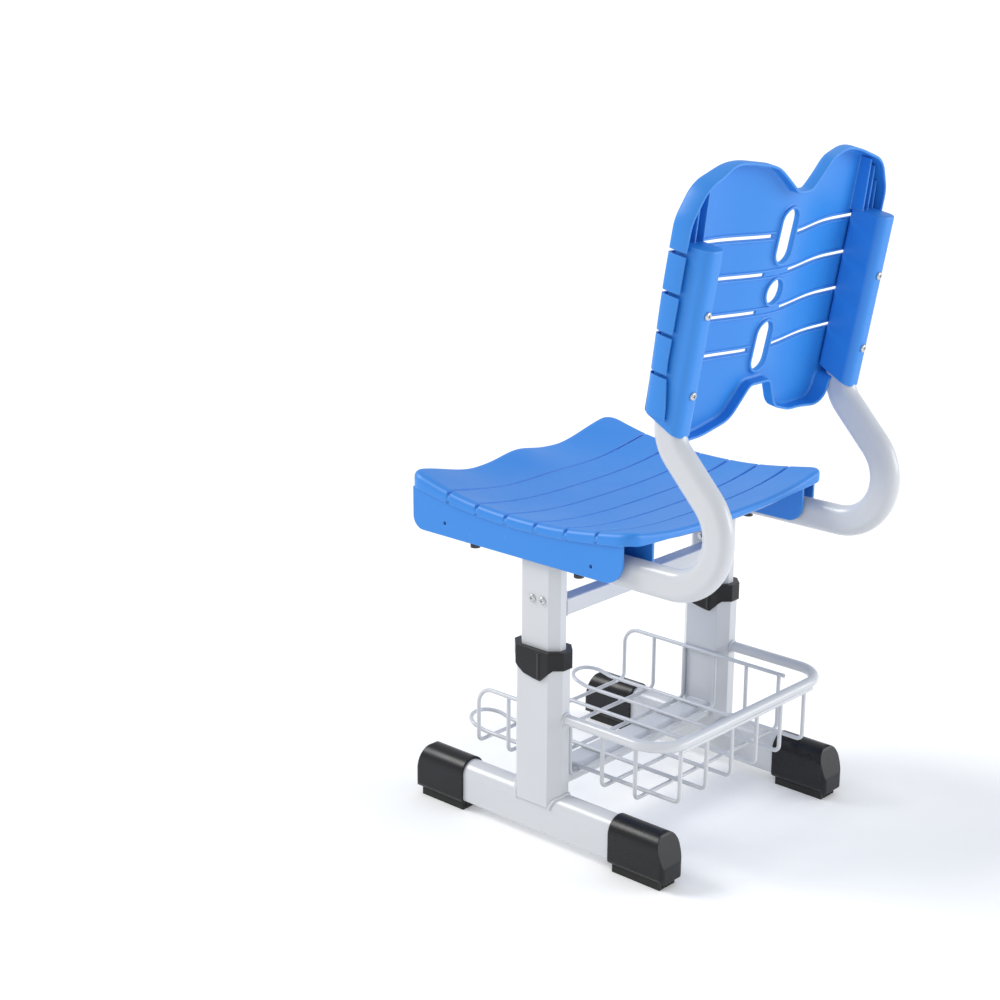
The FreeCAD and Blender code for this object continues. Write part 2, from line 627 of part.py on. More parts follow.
def seat_top_z(x, y):
    """Height of the dished top, rolling down near the rim."""
    t = min(max((abs(x) - WING_START_X) / (SEAT_HALF - WING_START_X), 0.0), 1.0)
    wing = WING * t * t * (3 - 2 * t)
    front = math.exp(-((y - SEAT_FRONT) / WING_Y) ** 2)
    side = SEAT_DISH * (abs(x) / SEAT_HALF) ** SEAT_DISH_POWER
    z = seat_middle_z(y) + (1 - front) * side + front * wing
    z += POMMEL * math.exp(-(x / POMMEL_X) ** 2 - ((y - SEAT_FRONT) / POMMEL_Y) ** 2)
    edge = min(SEAT_HALF - abs(x), y - SEAT_FRONT, SEAT_REAR - y)
    roll = max(0.0, 1 - max(edge, 0.0) / SEAT_EDGE)
    return z - SEAT_EDGE_DROP * roll ** 2


def stations(low, high, inner_step):
    """Grid lines, closer together where the rim rolls down."""
    fine = [0.0, SEAT_EDGE / 3, SEAT_EDGE * 2 / 3, SEAT_EDGE]
    start, end = low + SEAT_EDGE, high - SEAT_EDGE
    count = max(3, int(round((end - start) / inner_step)))
    inner = [start + (end - start) * i / count for i in range(1, count)]
    return [low - 4] + [low + f for f in fine] + inner + [high - f for f in reversed(fine)] + [high + 4]


def under_surface(drop, depth):
    """Everything within a depth below the seat's top, lowered by a drop."""
    xs = stations(-SEAT_HALF, SEAT_HALF, 26.0)
    ys = stations(SEAT_FRONT, SEAT_REAR, 26.0)
    grid = [[V(x, y, seat_top_z(x, y) - drop) for y in ys] for x in xs]
    surface = Part.BSplineSurface()
    surface.interpolate(grid)
    return surface.toShape().extrude(V(0, 0, -depth))


def seat_plan(inset, z0, z1):
    """Rounded outline of the seat, shrunk by an inset, as a block."""
    block = box(-SEAT_HALF + inset, SEAT_HALF - inset, SEAT_FRONT + inset, SEAT_REAR - inset, z0, z1)
    upright = [e for e in block.Edges if abs(e.BoundBox.ZLength - (z1 - z0)) < 0.01]
    return block.makeFillet(max(SEAT_CORNER_R - inset, 2.0), upright)


def seat_deck():
    """Dished top with its rolled rim and the grooves across it."""
    low, high = FRONT_ROLL_Z - 60, SEAT_LOW_Z + 70
    shell = seat_plan(0, low, high).common(under_surface(0, 50))
    hollow = seat_plan(SEAT_T, low - 1, high).common(under_surface(SEAT_T, 90))
    shell = shell.cut(hollow)
    limit = [V(-SEAT_HALF - 5, y, z) for y, z in SIDE_LIP]
    limit += [V(-SEAT_HALF - 5, SEAT_REAR + 5, low - 5), V(-SEAT_HALF - 5, SEAT_FRONT - 5, low - 5)]
    sides_low = prism(limit, V(2 * SEAT_HALF + 10, 0, 0))
    keep = seat_plan(SEAT_T, low - 1, high)
    shell = shell.cut(sides_low.cut(keep))
    skin = under_surface(-20, 20 + GROOVE_DEPTH)
    for i in range(GROOVE_COUNT):
        y = GROOVE_FIRST + GROOVE_PITCH * i
        strip = box(-SEAT_HALF - 5, SEAT_HALF + 5, y - GROOVE_W / 2, y + GROOVE_W / 2,
                    SEAT_LOW_Z - 20, high)
        shell = shell.cut(strip.common(skin))
    return shell


def seat_skirt(s):
    """Side wall outside the side tube."""
    x1 = s * (SEAT_HALF - SKIRT_INSET)
    x0 = x1 - s * SEAT_T
    wall = box(x0, x1, SKIRT_FRONT, SKIRT_REAR, SKIRT_BASE_Z, SEAT_LOW_Z + 60)
    corners = [e for e in wall.Edges if e.BoundBox.XLength > 1 and e.BoundBox.ZMax < SKIRT_BASE_Z + 0.01]
    corners.sort(key=lambda e: e.BoundBox.YMin)
    wall = wall.makeFillet(SKIRT_FRONT_R, corners[:1])
    corners = [e for e in wall.Edges if e.BoundBox.XLength > 1 and e.BoundBox.ZMax < SKIRT_BASE_Z + 0.01]
    corners.sort(key=lambda e: e.BoundBox.YMin)
    wall = wall.makeFillet(SKIRT_REAR_R, corners[-1:])
    for y, z in SKIRT_HOLES:
        wall = wall.cut(cylinder(SKIRT_HOLE_R, V(x1 + s * 5, y, z), V(x0 - s * 5, y, z)))
    return wall


def channel_parts(s):
    """Inner wall of the tube channel and the ribs that rest on the tube."""
    x0, x1 = s * CHANNEL_WALL_X, s * (CHANNEL_WALL_X + SEAT_T)
    wall = box(x0, x1, CHANNEL_FRONT, CHANNEL_REAR, SKIRT_BASE_Z + 1, SEAT_LOW_Z + 60)
    corners = [e for e in wall.Edges if e.BoundBox.XLength > 1 and e.BoundBox.ZMax < SKIRT_BASE_Z + 1.01]
    out = [wall.makeFillet(18.0, corners)]
    outer = s * (SEAT_HALF - SKIRT_INSET - 1)
    for y in RIB_STATIONS:
        out.append(box(x1, outer, y - 1.5, y + 1.5, SEAT_TUBE_TOP_Z - 9, SEAT_LOW_Z + 60))
    for y in SEAT_BOLT_STATIONS:
        out.append(cylinder(BOSS_R, V(s * LEG_X, y, SEAT_TUBE_TOP_Z - 9),
                            V(s * LEG_X, y, SEAT_LOW_Z + 60)))
    return out


def seat_shell(side_tube_outers):
    pieces = []
    for _, s in sides():
        pieces.append(seat_skirt(s))
        pieces.extend(channel_parts(s))
    for i in range(3):
        y = -120.0 + 100.0 * i
        pieces.append(box(-CHANNEL_WALL_X, CHANNEL_WALL_X, y - 1.3, y + 1.3, seat_middle_z(y) - 14,
                          SEAT_LOW_Z + 60))
    keep = under_surface(SEAT_T / 2, 90)
    lower = pieces[0].multiFuse(pieces[1:]).common(keep)
    seat = seat_deck().fuse(lower)
    for side, s in sides():
        seat = seat.cut(side_tube_outers[side])
        for y in SEAT_BOLT_STATIONS:
            seat = seat.cut(seat_bolt_axis(s, y, SEAT_TUBE_TOP_Z - 12, SEAT_TUBE_TOP_Z + 4.5,
                                           SEAT_BOLT_R + CONTACT_GAP))
    return seat.removeSplitter()


def seat_bolts():
    """Bolts from under the side tubes into the seat's bosses."""
    out = []
    for _, s in sides():
        for y in SEAT_BOLT_STATIONS:
            head = seat_bolt_axis(s, y, SEAT_TUBE_BOTTOM_Z - 4, SEAT_TUBE_BOTTOM_Z, SEAT_BOLT_HEAD_R)
            shank = seat_bolt_axis(s, y, SEAT_TUBE_BOTTOM_Z, SEAT_TUBE_TOP_Z + 4.5, SEAT_BOLT_R)
            out.append(head.fuse(shank).removeSplitter())
    return Part.makeCompound(out)


# ---- Backrest ---------------------------------------------------------------------------
def panel_offset(x, up):
    """Rear face of the panel: rearmost at the middle, level beyond the curve."""
    t = min(abs(x), PANEL_CURVE_X) / PANEL_CURVE_X
    middle = PANEL_MID + PANEL_TILT * up
    return middle + (PANEL_SIDE - middle) * (1 - math.cos(math.pi * t)) / 2


def rim_offset(x, up):
    """Rear edge of the rim, deeper towards the sides."""
    t = min(1.0, max(0.0, (abs(x) - 95.0) / 55.0))
    return panel_offset(x, up) + RIM_DEPTH + (RIM_SIDE_DEPTH - RIM_DEPTH) * t * t * (3 - 2 * t)


def behind(offset):
    """Everything behind a curved face, out to well past the back."""
    half, low, high = 190.0, -95.0, 250.0
    xs = [-half + 2 * half * i / 32 for i in range(33)]
    ups = [low + (high - low) * i / 6 for i in range(7)]
    surface = Part.BSplineSurface()
    surface.interpolate([[V(x, offset(x, up), up) for up in ups] for x in xs])
    return surface.toShape().extrude(V(0, 90, 0))


HALF_OUTLINE = [(0, 200, 0), (11, 200, 12), (50, 230, 40), (108, 236, 100), (163, 217, 40),
                (SIDE_EDGE_X, 180, 40), (SIDE_EDGE_X, 130, 60), (SIDE_FOOT_X, -32, 4), (148.5, -45, 3),
                (147, -76, 24), (85, -75, 80), (42, -61, 35), (18, -23.5, 9), (0, -23.5, 0)]


def outline_wire(depth):
    """Butterfly outline of the back in the plane at a depth: corners at (x, up) with radii."""
    edges = []
    radii = [r for _, _, r in HALF_OUTLINE[1:-1]]
    for s in (1, -1):
        corners = [V(s * x, depth, up) for x, up, _ in HALF_OUTLINE]
        edges += rounded_path(corners, radii).Edges
    return Part.Wire(Part.__sortEdges__(edges))


def outline_prism(inset, rear):
    """Block with the back's outline, shrunk by an inset, from ahead of the panel to a rear plane."""
    depth = PANEL_SIDE - 15
    face = Part.Face(outline_wire(depth))
    if inset:
        face = face.makeOffset2D(-inset)
    return face.extrude(V(0, rear - depth, 0))


def sleeve(s):
    """Channel that the side tube slides up into, closed at the top."""
    half = SIDE_WIDTH / 2 + SLEEVE_WALL
    x = s * LEG_X
    front = PANEL_SIDE - PANEL_T / 2
    depth = -front
    body = box(x - half, x + half, front, 0, SLEEVE_BOTTOM, SLEEVE_TOP)
    long_edges = [e for e in body.Edges if e.BoundBox.ZLength > 50]
    body = body.makeFillet(SLEEVE_ROUND, long_edges)
    slant = prism([V(x - 40, 1, SLEEVE_BOTTOM), V(x - 40, -depth - 5, SLEEVE_BOTTOM_FRONT + 1),
                   V(x - 40, -depth - 5, SLEEVE_BOTTOM - 5), V(x - 40, 1, SLEEVE_BOTTOM - 5)],
                  V(80, 0, 0))
    return body.cut(slant)


def to_back_frame(shape):
    """Move a shape from the back's own frame to its place on the chair."""
    shape = shape.copy()
    shape.rotate(V(0, 0, 0), V(1, 0, 0), -BACK_LEAN)
    shape.translate(V(0, BACK_Y, BACK_Z))
    return shape


def hole_oval(up, height, width, y0, y1):
    return stadium_prism(V(0, y0, up), width, height, V(1, 0, 0), V(0, 0, 1), V(0, y1 - y0, 0))


def backrest_shell(side_tube_outers):
    behind_panel = behind(panel_offset)
    outline = outline_prism(0, 20)
    panel = behind(lambda x, up: panel_offset(x, up) - PANEL_T).common(outline).cut(behind_panel)
    rim = outline.cut(outline_prism(RIM_T, 21)).common(behind_panel).cut(behind(rim_offset))
    shell = panel.fuse(rim)
    for up, height in HOLES:
        middle = panel_offset(0, up)
        shell = shell.fuse(hole_oval(up, height + 2 * HOLE_RIM_T, HOLE_W + 2 * HOLE_RIM_T,
                                     middle - 1.5, middle + HOLE_RIM_DEPTH))
    for up, height in HOLES:
        shell = shell.cut(hole_oval(up, height, HOLE_W, PANEL_SIDE - 20, 20))
    for i in range(SLOT_COUNT):
        up = SLOT_FIRST + SLOT_PITCH * i
        for _, s in sides():
            shell = shell.cut(box(s * SLOT_BRIDGE, s * 195, PANEL_SIDE - 20, 20,
                                  up - SLOT_H / 2, up + SLOT_H / 2))
    for _, s in sides():
        shell = shell.fuse(sleeve(s))
        for i in range(3):
            x = s * (LEG_X - 10 + 10 * i)
            rib = box(x - 1, x + 1, PANEL_SIDE - 1, BACK_RIB_REAR - 1.5 * i, SLEEVE_TOP - 1, 240)
            shell = shell.fuse(rib.common(outline_prism(RIM_T / 2, 20)))
    shell = to_back_frame(shell)
    for side, s in sides():
        shell = shell.cut(side_tube_outers[side])
        for up in BACK_SCREWS:
            shell = shell.cut(cylinder(BACK_SCREW_R, back_point(s * LEG_X, 2, up),
                                       back_point(s * LEG_X, -SLEEVE_WALL - 2, up)))
    return shell.removeSplitter()


def backrest_screws():
    out = []
    for _, s in sides():
        for up in BACK_SCREWS:
            shank = cylinder(BACK_SCREW_R, back_point(s * LEG_X, 0, up),
                             back_point(s * LEG_X, -SLEEVE_WALL - 9, up))
            head = pan_head(back_point(s * LEG_X, 0, up), BACK_REARWARD * 1.0)
            out.append(head.fuse(shank).removeSplitter())
    return Part.makeCompound(out)


# ---- Basket -----------------------------------------------------------------------------
def basket_frame():
    """Thick tube from one fixed upright round the back to the other."""
    x = LEG_X
    points = [V(x, OUTER_REAR_Y, FRAME_Z), V(x, FRAME_REAR_Y, FRAME_Z), V(-x, FRAME_REAR_Y, FRAME_Z),
              V(-x, OUTER_REAR_Y, FRAME_Z)]
    return wire_rod(points, [FRAME_BEND, FRAME_BEND], FRAME_R)


def cross_places():
    return [CROSS_FIRST + CROSS_PITCH * i for i in range(CROSS_WIRES)]


def long_places():
    return [LONG_PITCH * (i - (LONG_WIRES - 1) / 2) for i in range(LONG_WIRES)]


def basket_front_wire():
    """First floor wire; its ends turn up and run back as the rails of the side walls."""
    x = SIDE_WALL_X
    places = cross_places()
    front, rail_end = places[0], places[-1] + 8
    points = [V(x, rail_end, RAIL_Z), V(x, front, RAIL_Z), V(x, front, CROSS_Z),
              V(-x, front, CROSS_Z), V(-x, front, RAIL_Z), V(-x, rail_end, RAIL_Z)]
    return wire_rod(points, [RAIL_BEND, WIRE_BEND, WIRE_BEND, RAIL_BEND], WIRE_R)


def basket_cross_wires():
    """Other floor wires along X, turned up at both ends to meet the rails."""
    out = []
    x = SIDE_WALL_X
    for y in cross_places()[1:]:
        points = [V(x, y, RAIL_Z - WIRE_R), V(x, y, CROSS_Z), V(-x, y, CROSS_Z), V(-x, y, RAIL_Z - WIRE_R)]
        out.append(wire_rod(points, [WIRE_BEND, WIRE_BEND], WIRE_R))
    return Part.makeCompound(out)


def basket_long_wires():
    """Floor wires along Y in pairs, looped and raised in front and turned up at the rear."""
    out = []
    rear = FRAME_REAR_Y - 2 * WIRE_R
    top = RAIL_Z + WIRE_R
    places = long_places()
    corner = LONG_PITCH / 2 * 0.97
    for i in range(0, LONG_WIRES, 2):
        path = []
        for x in (places[i], places[i + 1]):
            path.append([V(x, rear, top), V(x, rear, LONG_Z), V(x, LOOP_BEND_Y, LONG_Z),
                         V(x, LOOP_FRONT_Y, LONG_Z + LOOP_RISE)])
        points = path[0] + path[1][::-1]
        radii = [WIRE_BEND, 4 * WIRE_BEND, corner, corner, 4 * WIRE_BEND, WIRE_BEND]
        out.append(wire_rod(points, radii, WIRE_R))
    return Part.makeCompound(out)


def basket_rear_rail():
    reach = long_places()[-1] + 8
    return cylinder(WIRE_R, V(-reach, FRAME_REAR_Y, RAIL_Z), V(reach, FRAME_REAR_Y, RAIL_Z))


def make_basket():
    add("basket_frame_tube", basket_frame())
    add("basket_front_wire", basket_front_wire())
    add("basket_cross_wires", basket_cross_wires())
    add("basket_long_wires", basket_long_wires())
    add("basket_rear_rail", basket_rear_rail())


# ---- Whole chair ------------------------------------------------------------------------
def main():
    outers = {side: side_solid(s * LEG_X) for side, s in sides()}
    make_feet()
    make_legs(outers)
    make_basket()
    for side, s in sides():
        add(side + "_side_tube", side_tube(s, outers[side]))
        add(side + "_tube_plug", tube_plug(s * LEG_X))
    add("seat_shell", seat_shell(outers))
    add("seat_bolts", seat_bolts())
    add("backrest_shell", backrest_shell(outers))
    add("backrest_screws", backrest_screws())
    os.makedirs("parts", exist_ok=True)
    for name, shape in SHAPES.items():
        shape = shape.copy()
        shape.translate(V(0, -CENTRE_Y, 0))
        shape.exportStep("parts/" + name + ".step")
        print(name, "solids", len(shape.Solids), "valid", shape.isValid(), "volume", round(shape.Volume))


main()
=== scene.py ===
import json
import math

import bmesh
import bpy
from mathutils import Matrix, Vector
from mathutils.geometry import delaunay_2d_cdt


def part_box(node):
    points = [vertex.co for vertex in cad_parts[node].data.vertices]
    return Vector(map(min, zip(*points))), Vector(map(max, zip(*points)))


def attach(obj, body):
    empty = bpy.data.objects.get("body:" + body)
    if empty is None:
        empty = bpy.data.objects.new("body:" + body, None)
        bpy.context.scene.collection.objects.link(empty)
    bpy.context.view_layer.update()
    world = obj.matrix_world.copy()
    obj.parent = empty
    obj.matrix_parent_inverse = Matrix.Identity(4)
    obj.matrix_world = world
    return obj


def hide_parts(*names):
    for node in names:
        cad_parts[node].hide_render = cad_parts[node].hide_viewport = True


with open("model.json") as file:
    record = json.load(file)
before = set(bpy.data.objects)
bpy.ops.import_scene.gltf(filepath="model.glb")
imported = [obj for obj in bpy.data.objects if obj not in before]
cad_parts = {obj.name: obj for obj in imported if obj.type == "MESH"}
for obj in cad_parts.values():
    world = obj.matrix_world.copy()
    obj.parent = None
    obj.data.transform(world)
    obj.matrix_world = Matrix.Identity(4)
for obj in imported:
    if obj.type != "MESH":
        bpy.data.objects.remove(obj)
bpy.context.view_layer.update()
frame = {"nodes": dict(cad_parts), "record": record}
NODES = frame["nodes"]

MM = 0.001


def centre(node):
    """Middle of a CAD node's box, in metres."""
    low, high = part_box(node)
    return (low + high) / 2


UPRIGHT_Y = -2.0                       # the uprights' place along the foot, in the maker's own zero, mm
SHIFT_Y = centre("left_outer_upright").y / MM - UPRIGHT_Y
LEG_X = centre("left_outer_upright").x / MM


def at(x, y, z):
    """A point given in millimetres from the middle of the feet, in the row frame."""
    return Vector((x * MM, (y + SHIFT_Y) * MM, z * MM))


# ---- node helpers ----------------------------------------------------------------------
class Tree:
    """A node tree with short ways to add and join nodes."""

    def __init__(self, tree):
        self.tree = tree
        tree.nodes.clear()

    def add(self, kind, values=None, **props):
        node = self.tree.nodes.new(kind)
        for key, value in props.items():
            setattr(node, key, value)
        for key, value in (values or {}).items():
            socket = node.inputs[key]
            if isinstance(value, bpy.types.NodeSocket):
                self.tree.links.new(value, socket)
            else:
                socket.default_value = value
        return node

    def join(self, source, target):
        self.tree.links.new(source, target)


def make_group(name, inputs, outputs):
    """Empty shader group; inputs and outputs are lists of (name, socket type, default)."""
    group = bpy.data.node_groups.new(name, "ShaderNodeTree")
    for label, kind, default in inputs:
        socket = group.interface.new_socket(label, in_out="INPUT", socket_type=kind)
        if default is not None:
            socket.default_value = default
    for label, kind in outputs:
        group.interface.new_socket(label, in_out="OUTPUT", socket_type=kind)
    tree = Tree(group)
    return group, tree, tree.add("NodeGroupInput"), tree.add("NodeGroupOutput")


FLOAT = "NodeSocketFloat"


def moulded_grain_group():
    """Fine spark-eroded grain of a moulding, with broad changes of sheen."""
    group, t, gin, gout = make_group(
        "moulded_grain",
        [("Grain Scale", FLOAT, 1800.0), ("Sheen Low", FLOAT, 0.3), ("Sheen High", FLOAT, 0.45)],
        [("Height", FLOAT), ("Roughness", FLOAT)])
    place = t.add("ShaderNodeTexCoord").outputs["Object"]
    fine = t.add("ShaderNodeTexNoise", {"Vector": place, "Scale": gin.outputs["Grain Scale"],
                                        "Detail": 2.0, "Roughness": 0.6})
    broad = t.add("ShaderNodeTexNoise", {"Vector": place, "Scale": 14.0, "Detail": 3.0})
    sheen = t.add("ShaderNodeMapRange", {"Value": broad.outputs["Fac"], "From Min": 0.3, "From Max": 0.7,
                                         "To Min": gin.outputs["Sheen Low"],
                                         "To Max": gin.outputs["Sheen High"]})
    t.join(fine.outputs["Fac"], gout.inputs["Height"])
    t.join(sheen.outputs["Result"], gout.inputs["Roughness"])
    return group


def scuff_group():
    """Sparse short scratches and rubbed specks, as a mask."""
    group, t, gin, gout = make_group(
        "scuffs",
        [("Scale", FLOAT, 30.0), ("Amount", FLOAT, 0.5)],
        [("Mask", FLOAT)])
    place = t.add("ShaderNodeTexCoord").outputs["Object"]
    stretched = t.add("ShaderNodeMapping", {"Vector": place, "Rotation": (0.4, 0.9, 0.5),
                                            "Scale": (1.0, 7.0, 1.0)})
    lines = t.add("ShaderNodeTexVoronoi", {"Vector": stretched.outputs["Vector"],
                                           "Scale": gin.outputs["Scale"]}, feature="DISTANCE_TO_EDGE")
    thin = t.add("ShaderNodeMapRange", {"Value": lines.outputs["Distance"], "From Min": 0.0,
                                        "From Max": 0.012, "To Min": 1.0, "To Max": 0.0})
    where = t.add("ShaderNodeTexNoise", {"Vector": place, "Scale": 26.0, "Detail": 4.0, "Roughness": 0.7})
    patch = t.add("ShaderNodeMapRange", {"Value": where.outputs["Fac"], "From Min": 0.62,
                                         "From Max": 0.72, "To Min": 0.0, "To Max": 1.0})
    both = t.add("ShaderNodeMath", {0: thin.outputs["Result"], 1: patch.outputs["Result"]},
                 operation="MULTIPLY")
    out = t.add("ShaderNodeMath", {0: both.outputs[0], 1: gin.outputs["Amount"]}, operation="MULTIPLY")
    t.join(out.outputs[0], gout.inputs["Mask"])
    return group


def edge_wear_and_sheen_group():
    """Mask of convex edges: painted sheen on the blue plastic, paler rubbed edges on the black plastic."""
    group, t, gin, gout = make_group(
        "edge_wear_and_sheen",
        [("Radius", FLOAT, 0.0015), ("Strength", FLOAT, 1.0)],
        [("Mask", FLOAT)])
    soft = t.add("ShaderNodeBevel", {"Radius": gin.outputs["Radius"]}, samples=4)
    shape = t.add("ShaderNodeNewGeometry")
    dot = t.add("ShaderNodeVectorMath", {0: soft.outputs["Normal"], 1: shape.outputs["Normal"]},
                operation="DOT_PRODUCT")
    edge = t.add("ShaderNodeMapRange", {"Value": dot.outputs["Value"], "From Min": 0.999,
                                        "From Max": 0.93, "To Min": 0.0, "To Max": 1.0})
    out = t.add("ShaderNodeMath", {0: edge.outputs["Result"], 1: gin.outputs["Strength"]},
                operation="MULTIPLY")
    t.join(out.outputs[0], gout.inputs["Mask"])
    return group


GRAIN = moulded_grain_group()
SCUFFS = scuff_group()
EDGE_WEAR_AND_SHEEN = edge_wear_and_sheen_group()


def new_material(name):
    material = bpy.data.materials.new(name)
    material.use_nodes = True
    tree = Tree(material.node_tree)
    shader = tree.add("ShaderNodeBsdfPrincipled")
    out = tree.add("ShaderNodeOutputMaterial")
    tree.join(shader.outputs["BSDF"], out.inputs["Surface"])
    return material, tree, shader


def mix_color(tree, factor, a, b):
    node = tree.add("ShaderNodeMix", data_type="RGBA")
    tree.join(factor, node.inputs["Factor"])
    for socket, value in ((node.inputs[6], a), (node.inputs[7], b)):
        if isinstance(value, bpy.types.NodeSocket):
            tree.join(value, socket)
        else:
            socket.default_value = (*value, 1.0)
    return node.outputs[2]


def tint_noise(tree, scale, low, high):
    """Colour that drifts between two near shades."""
    place = tree.add("ShaderNodeTexCoord").outputs["Object"]
    cloud = tree.add("ShaderNodeTexNoise", {"Vector": place, "Scale": scale, "Detail": 3.0})
    return mix_color(tree, cloud.outputs["Fac"], low, high)


def soft_edge(tree, radius):
    return tree.add("ShaderNodeBevel", {"Radius": radius}, samples=6).outputs["Normal"]


def bump(tree, height, distance, strength, normal):
    node = tree.add("ShaderNodeBump", {"Height": height, "Distance": distance, "Strength": strength,
                                       "Normal": normal})
    return node.outputs["Normal"]


def blue_plastic():
    """Satin blue polypropylene with a fine grain, a few white scuffs and painted sheen along its convex
    edges.
    """
    material, t, shader = new_material("blue_plastic")
    base = tint_noise(t, 5.0, (0.022, 0.225, 0.700), (0.030, 0.250, 0.740))
    scuff = t.add("ShaderNodeGroup", node_tree=SCUFFS)
    scuff.inputs["Scale"].default_value = 34.0
    scuff.inputs["Amount"].default_value = 0.55
    base = mix_color(t, scuff.outputs["Mask"], base, (0.45, 0.62, 0.92))
    # Lighter blue along the convex edges is painted sheen, where the edges catch the light.
    edge = t.add("ShaderNodeGroup", node_tree=EDGE_WEAR_AND_SHEEN)
    edge.inputs["Radius"].default_value = 0.002
    edge.inputs["Strength"].default_value = 0.28
    base = mix_color(t, edge.outputs["Mask"], base, (0.20, 0.48, 0.95))
    grain = t.add("ShaderNodeGroup", node_tree=GRAIN)
    grain.inputs["Grain Scale"].default_value = 1500.0
    grain.inputs["Sheen Low"].default_value = 0.36
    grain.inputs["Sheen High"].default_value = 0.46
    t.join(base, shader.inputs["Base Color"])
    t.join(grain.outputs["Roughness"], shader.inputs["Roughness"])
    t.join(bump(t, grain.outputs["Height"], 0.00012, 0.35, soft_edge(t, 0.0016)), shader.inputs["Normal"])
    shader.inputs["Specular IOR Level"].default_value = 0.5
    shader.inputs["Subsurface Weight"].default_value = 0.0
    return material


def white_enamel():
    """Stoved white powder coat: slight orange peel, a few dark scratches."""
    material, t, shader = new_material("white_enamel")
    base = tint_noise(t, 7.0, (0.590, 0.605, 0.630), (0.640, 0.650, 0.670))
    scuff = t.add("ShaderNodeGroup", node_tree=SCUFFS)
    scuff.inputs["Scale"].default_value = 22.0
    scuff.inputs["Amount"].default_value = 0.35
    base = mix_color(t, scuff.outputs["Mask"], base, (0.25, 0.26, 0.28))
    place = t.add("ShaderNodeTexCoord").outputs["Object"]
    peel = t.add("ShaderNodeTexNoise", {"Vector": place, "Scale": 420.0, "Detail": 2.0})
    t.join(base, shader.inputs["Base Color"])
    t.join(bump(t, peel.outputs["Fac"], 0.0003, 0.08, soft_edge(t, 0.0012)), shader.inputs["Normal"])
    shader.inputs["Roughness"].default_value = 0.30
    shader.inputs["Coat Weight"].default_value = 0.25
    shader.inputs["Coat Roughness"].default_value = 0.12
    return material


def black_plastic():
    """Moulded black caps and collars, rubbed paler along their edges."""
    material, t, shader = new_material("black_plastic")
    base = tint_noise(t, 18.0, (0.007, 0.007, 0.008), (0.011, 0.011, 0.013))
    scuff = t.add("ShaderNodeGroup", node_tree=SCUFFS)
    scuff.inputs["Scale"].default_value = 60.0
    scuff.inputs["Amount"].default_value = 0.5
    base = mix_color(t, scuff.outputs["Mask"], base, (0.16, 0.16, 0.17))
    edge = t.add("ShaderNodeGroup", node_tree=EDGE_WEAR_AND_SHEEN)
    edge.inputs["Radius"].default_value = 0.0016
    edge.inputs["Strength"].default_value = 0.25
    base = mix_color(t, edge.outputs["Mask"], base, (0.07, 0.07, 0.075))
    grain = t.add("ShaderNodeGroup", node_tree=GRAIN)
    grain.inputs["Grain Scale"].default_value = 1100.0
    grain.inputs["Sheen Low"].default_value = 0.24
    grain.inputs["Sheen High"].default_value = 0.36
    t.join(base, shader.inputs["Base Color"])
    t.join(grain.outputs["Roughness"], shader.inputs["Roughness"])
    t.join(bump(t, grain.outputs["Height"], 0.0002, 0.3, soft_edge(t, 0.002)), shader.inputs["Normal"])
    shader.inputs["Specular IOR Level"].default_value = 0.32
    return material


def pad_rubber():
    material, t, shader = new_material("pad_rubber")
    base = tint_noise(t, 40.0, (0.010, 0.010, 0.010), (0.022, 0.021, 0.020))
    grain = t.add("ShaderNodeGroup", node_tree=GRAIN)
    grain.inputs["Grain Scale"].default_value = 900.0
    grain.inputs["Sheen Low"].default_value = 0.62
    grain.inputs["Sheen High"].default_value = 0.82
    t.join(base, shader.inputs["Base Color"])
    t.join(grain.outputs["Roughness"], shader.inputs["Roughness"])
    t.join(bump(t, grain.outputs["Height"], 0.0002, 0.6, soft_edge(t, 0.001)), shader.inputs["Normal"])
    return material


def zinc_plate():
    """Bright zinc on the screws and nuts, with dull patches."""
    material, t, shader = new_material("zinc_plate")
    base = tint_noise(t, 160.0, (0.50, 0.50, 0.51), (0.72, 0.72, 0.71))
    place = t.add("ShaderNodeTexCoord").outputs["Object"]
    patch = t.add("ShaderNodeTexNoise", {"Vector": place, "Scale": 300.0, "Detail": 3.0})
    rough = t.add("ShaderNodeMapRange", {"Value": patch.outputs["Fac"], "To Min": 0.2, "To Max": 0.45})
    t.join(base, shader.inputs["Base Color"])
    t.join(rough.outputs["Result"], shader.inputs["Roughness"])
    t.join(soft_edge(t, 0.0003), shader.inputs["Normal"])
    shader.inputs["Metallic"].default_value = 1.0
    return material


def black_oxide():
    """Blackened bolt heads."""
    material, t, shader = new_material("black_oxide")
    base = tint_noise(t, 120.0, (0.018, 0.018, 0.020), (0.040, 0.040, 0.043))
    place = t.add("ShaderNodeTexCoord").outputs["Object"]
    patch = t.add("ShaderNodeTexNoise", {"Vector": place, "Scale": 240.0, "Detail": 3.0})
    rough = t.add("ShaderNodeMapRange", {"Value": patch.outputs["Fac"], "To Min": 0.3, "To Max": 0.5})
    t.join(base, shader.inputs["Base Color"])
    t.join(rough.outputs["Result"], shader.inputs["Roughness"])
    t.join(soft_edge(t, 0.0005), shader.inputs["Normal"])
    return material


MATERIALS = {
    "blue_plastic": blue_plastic(),
    "white_steel": white_enamel(),
    "black_plastic": black_plastic(),
    "rubber": pad_rubber(),
    "zinc_steel": zinc_plate(),
    "black_steel": black_oxide(),
}

for part in frame["record"]["subparts"]:
    mesh = NODES[part["node"]].data
    mesh.materials.clear()
    mesh.materials.append(MATERIALS[part["material_slot"]])


# ---- mesh helpers ----------------------------------------------------------------------
CREASE_ANGLE = math.radians(38)


def finish_piece(obj, body, slot_name, replaces=()):
    """Gives a finished mesh object its material, body and slot."""
    mesh = obj.data
    mesh.materials.clear()
    mesh.materials.append(MATERIALS[slot_name])
    mesh.polygons.foreach_set("use_smooth", [True] * len(mesh.polygons))
    mesh.set_sharp_from_angle(angle=CREASE_ANGLE)
    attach(obj, body)
    if replaces:
        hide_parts(*replaces)
    return obj


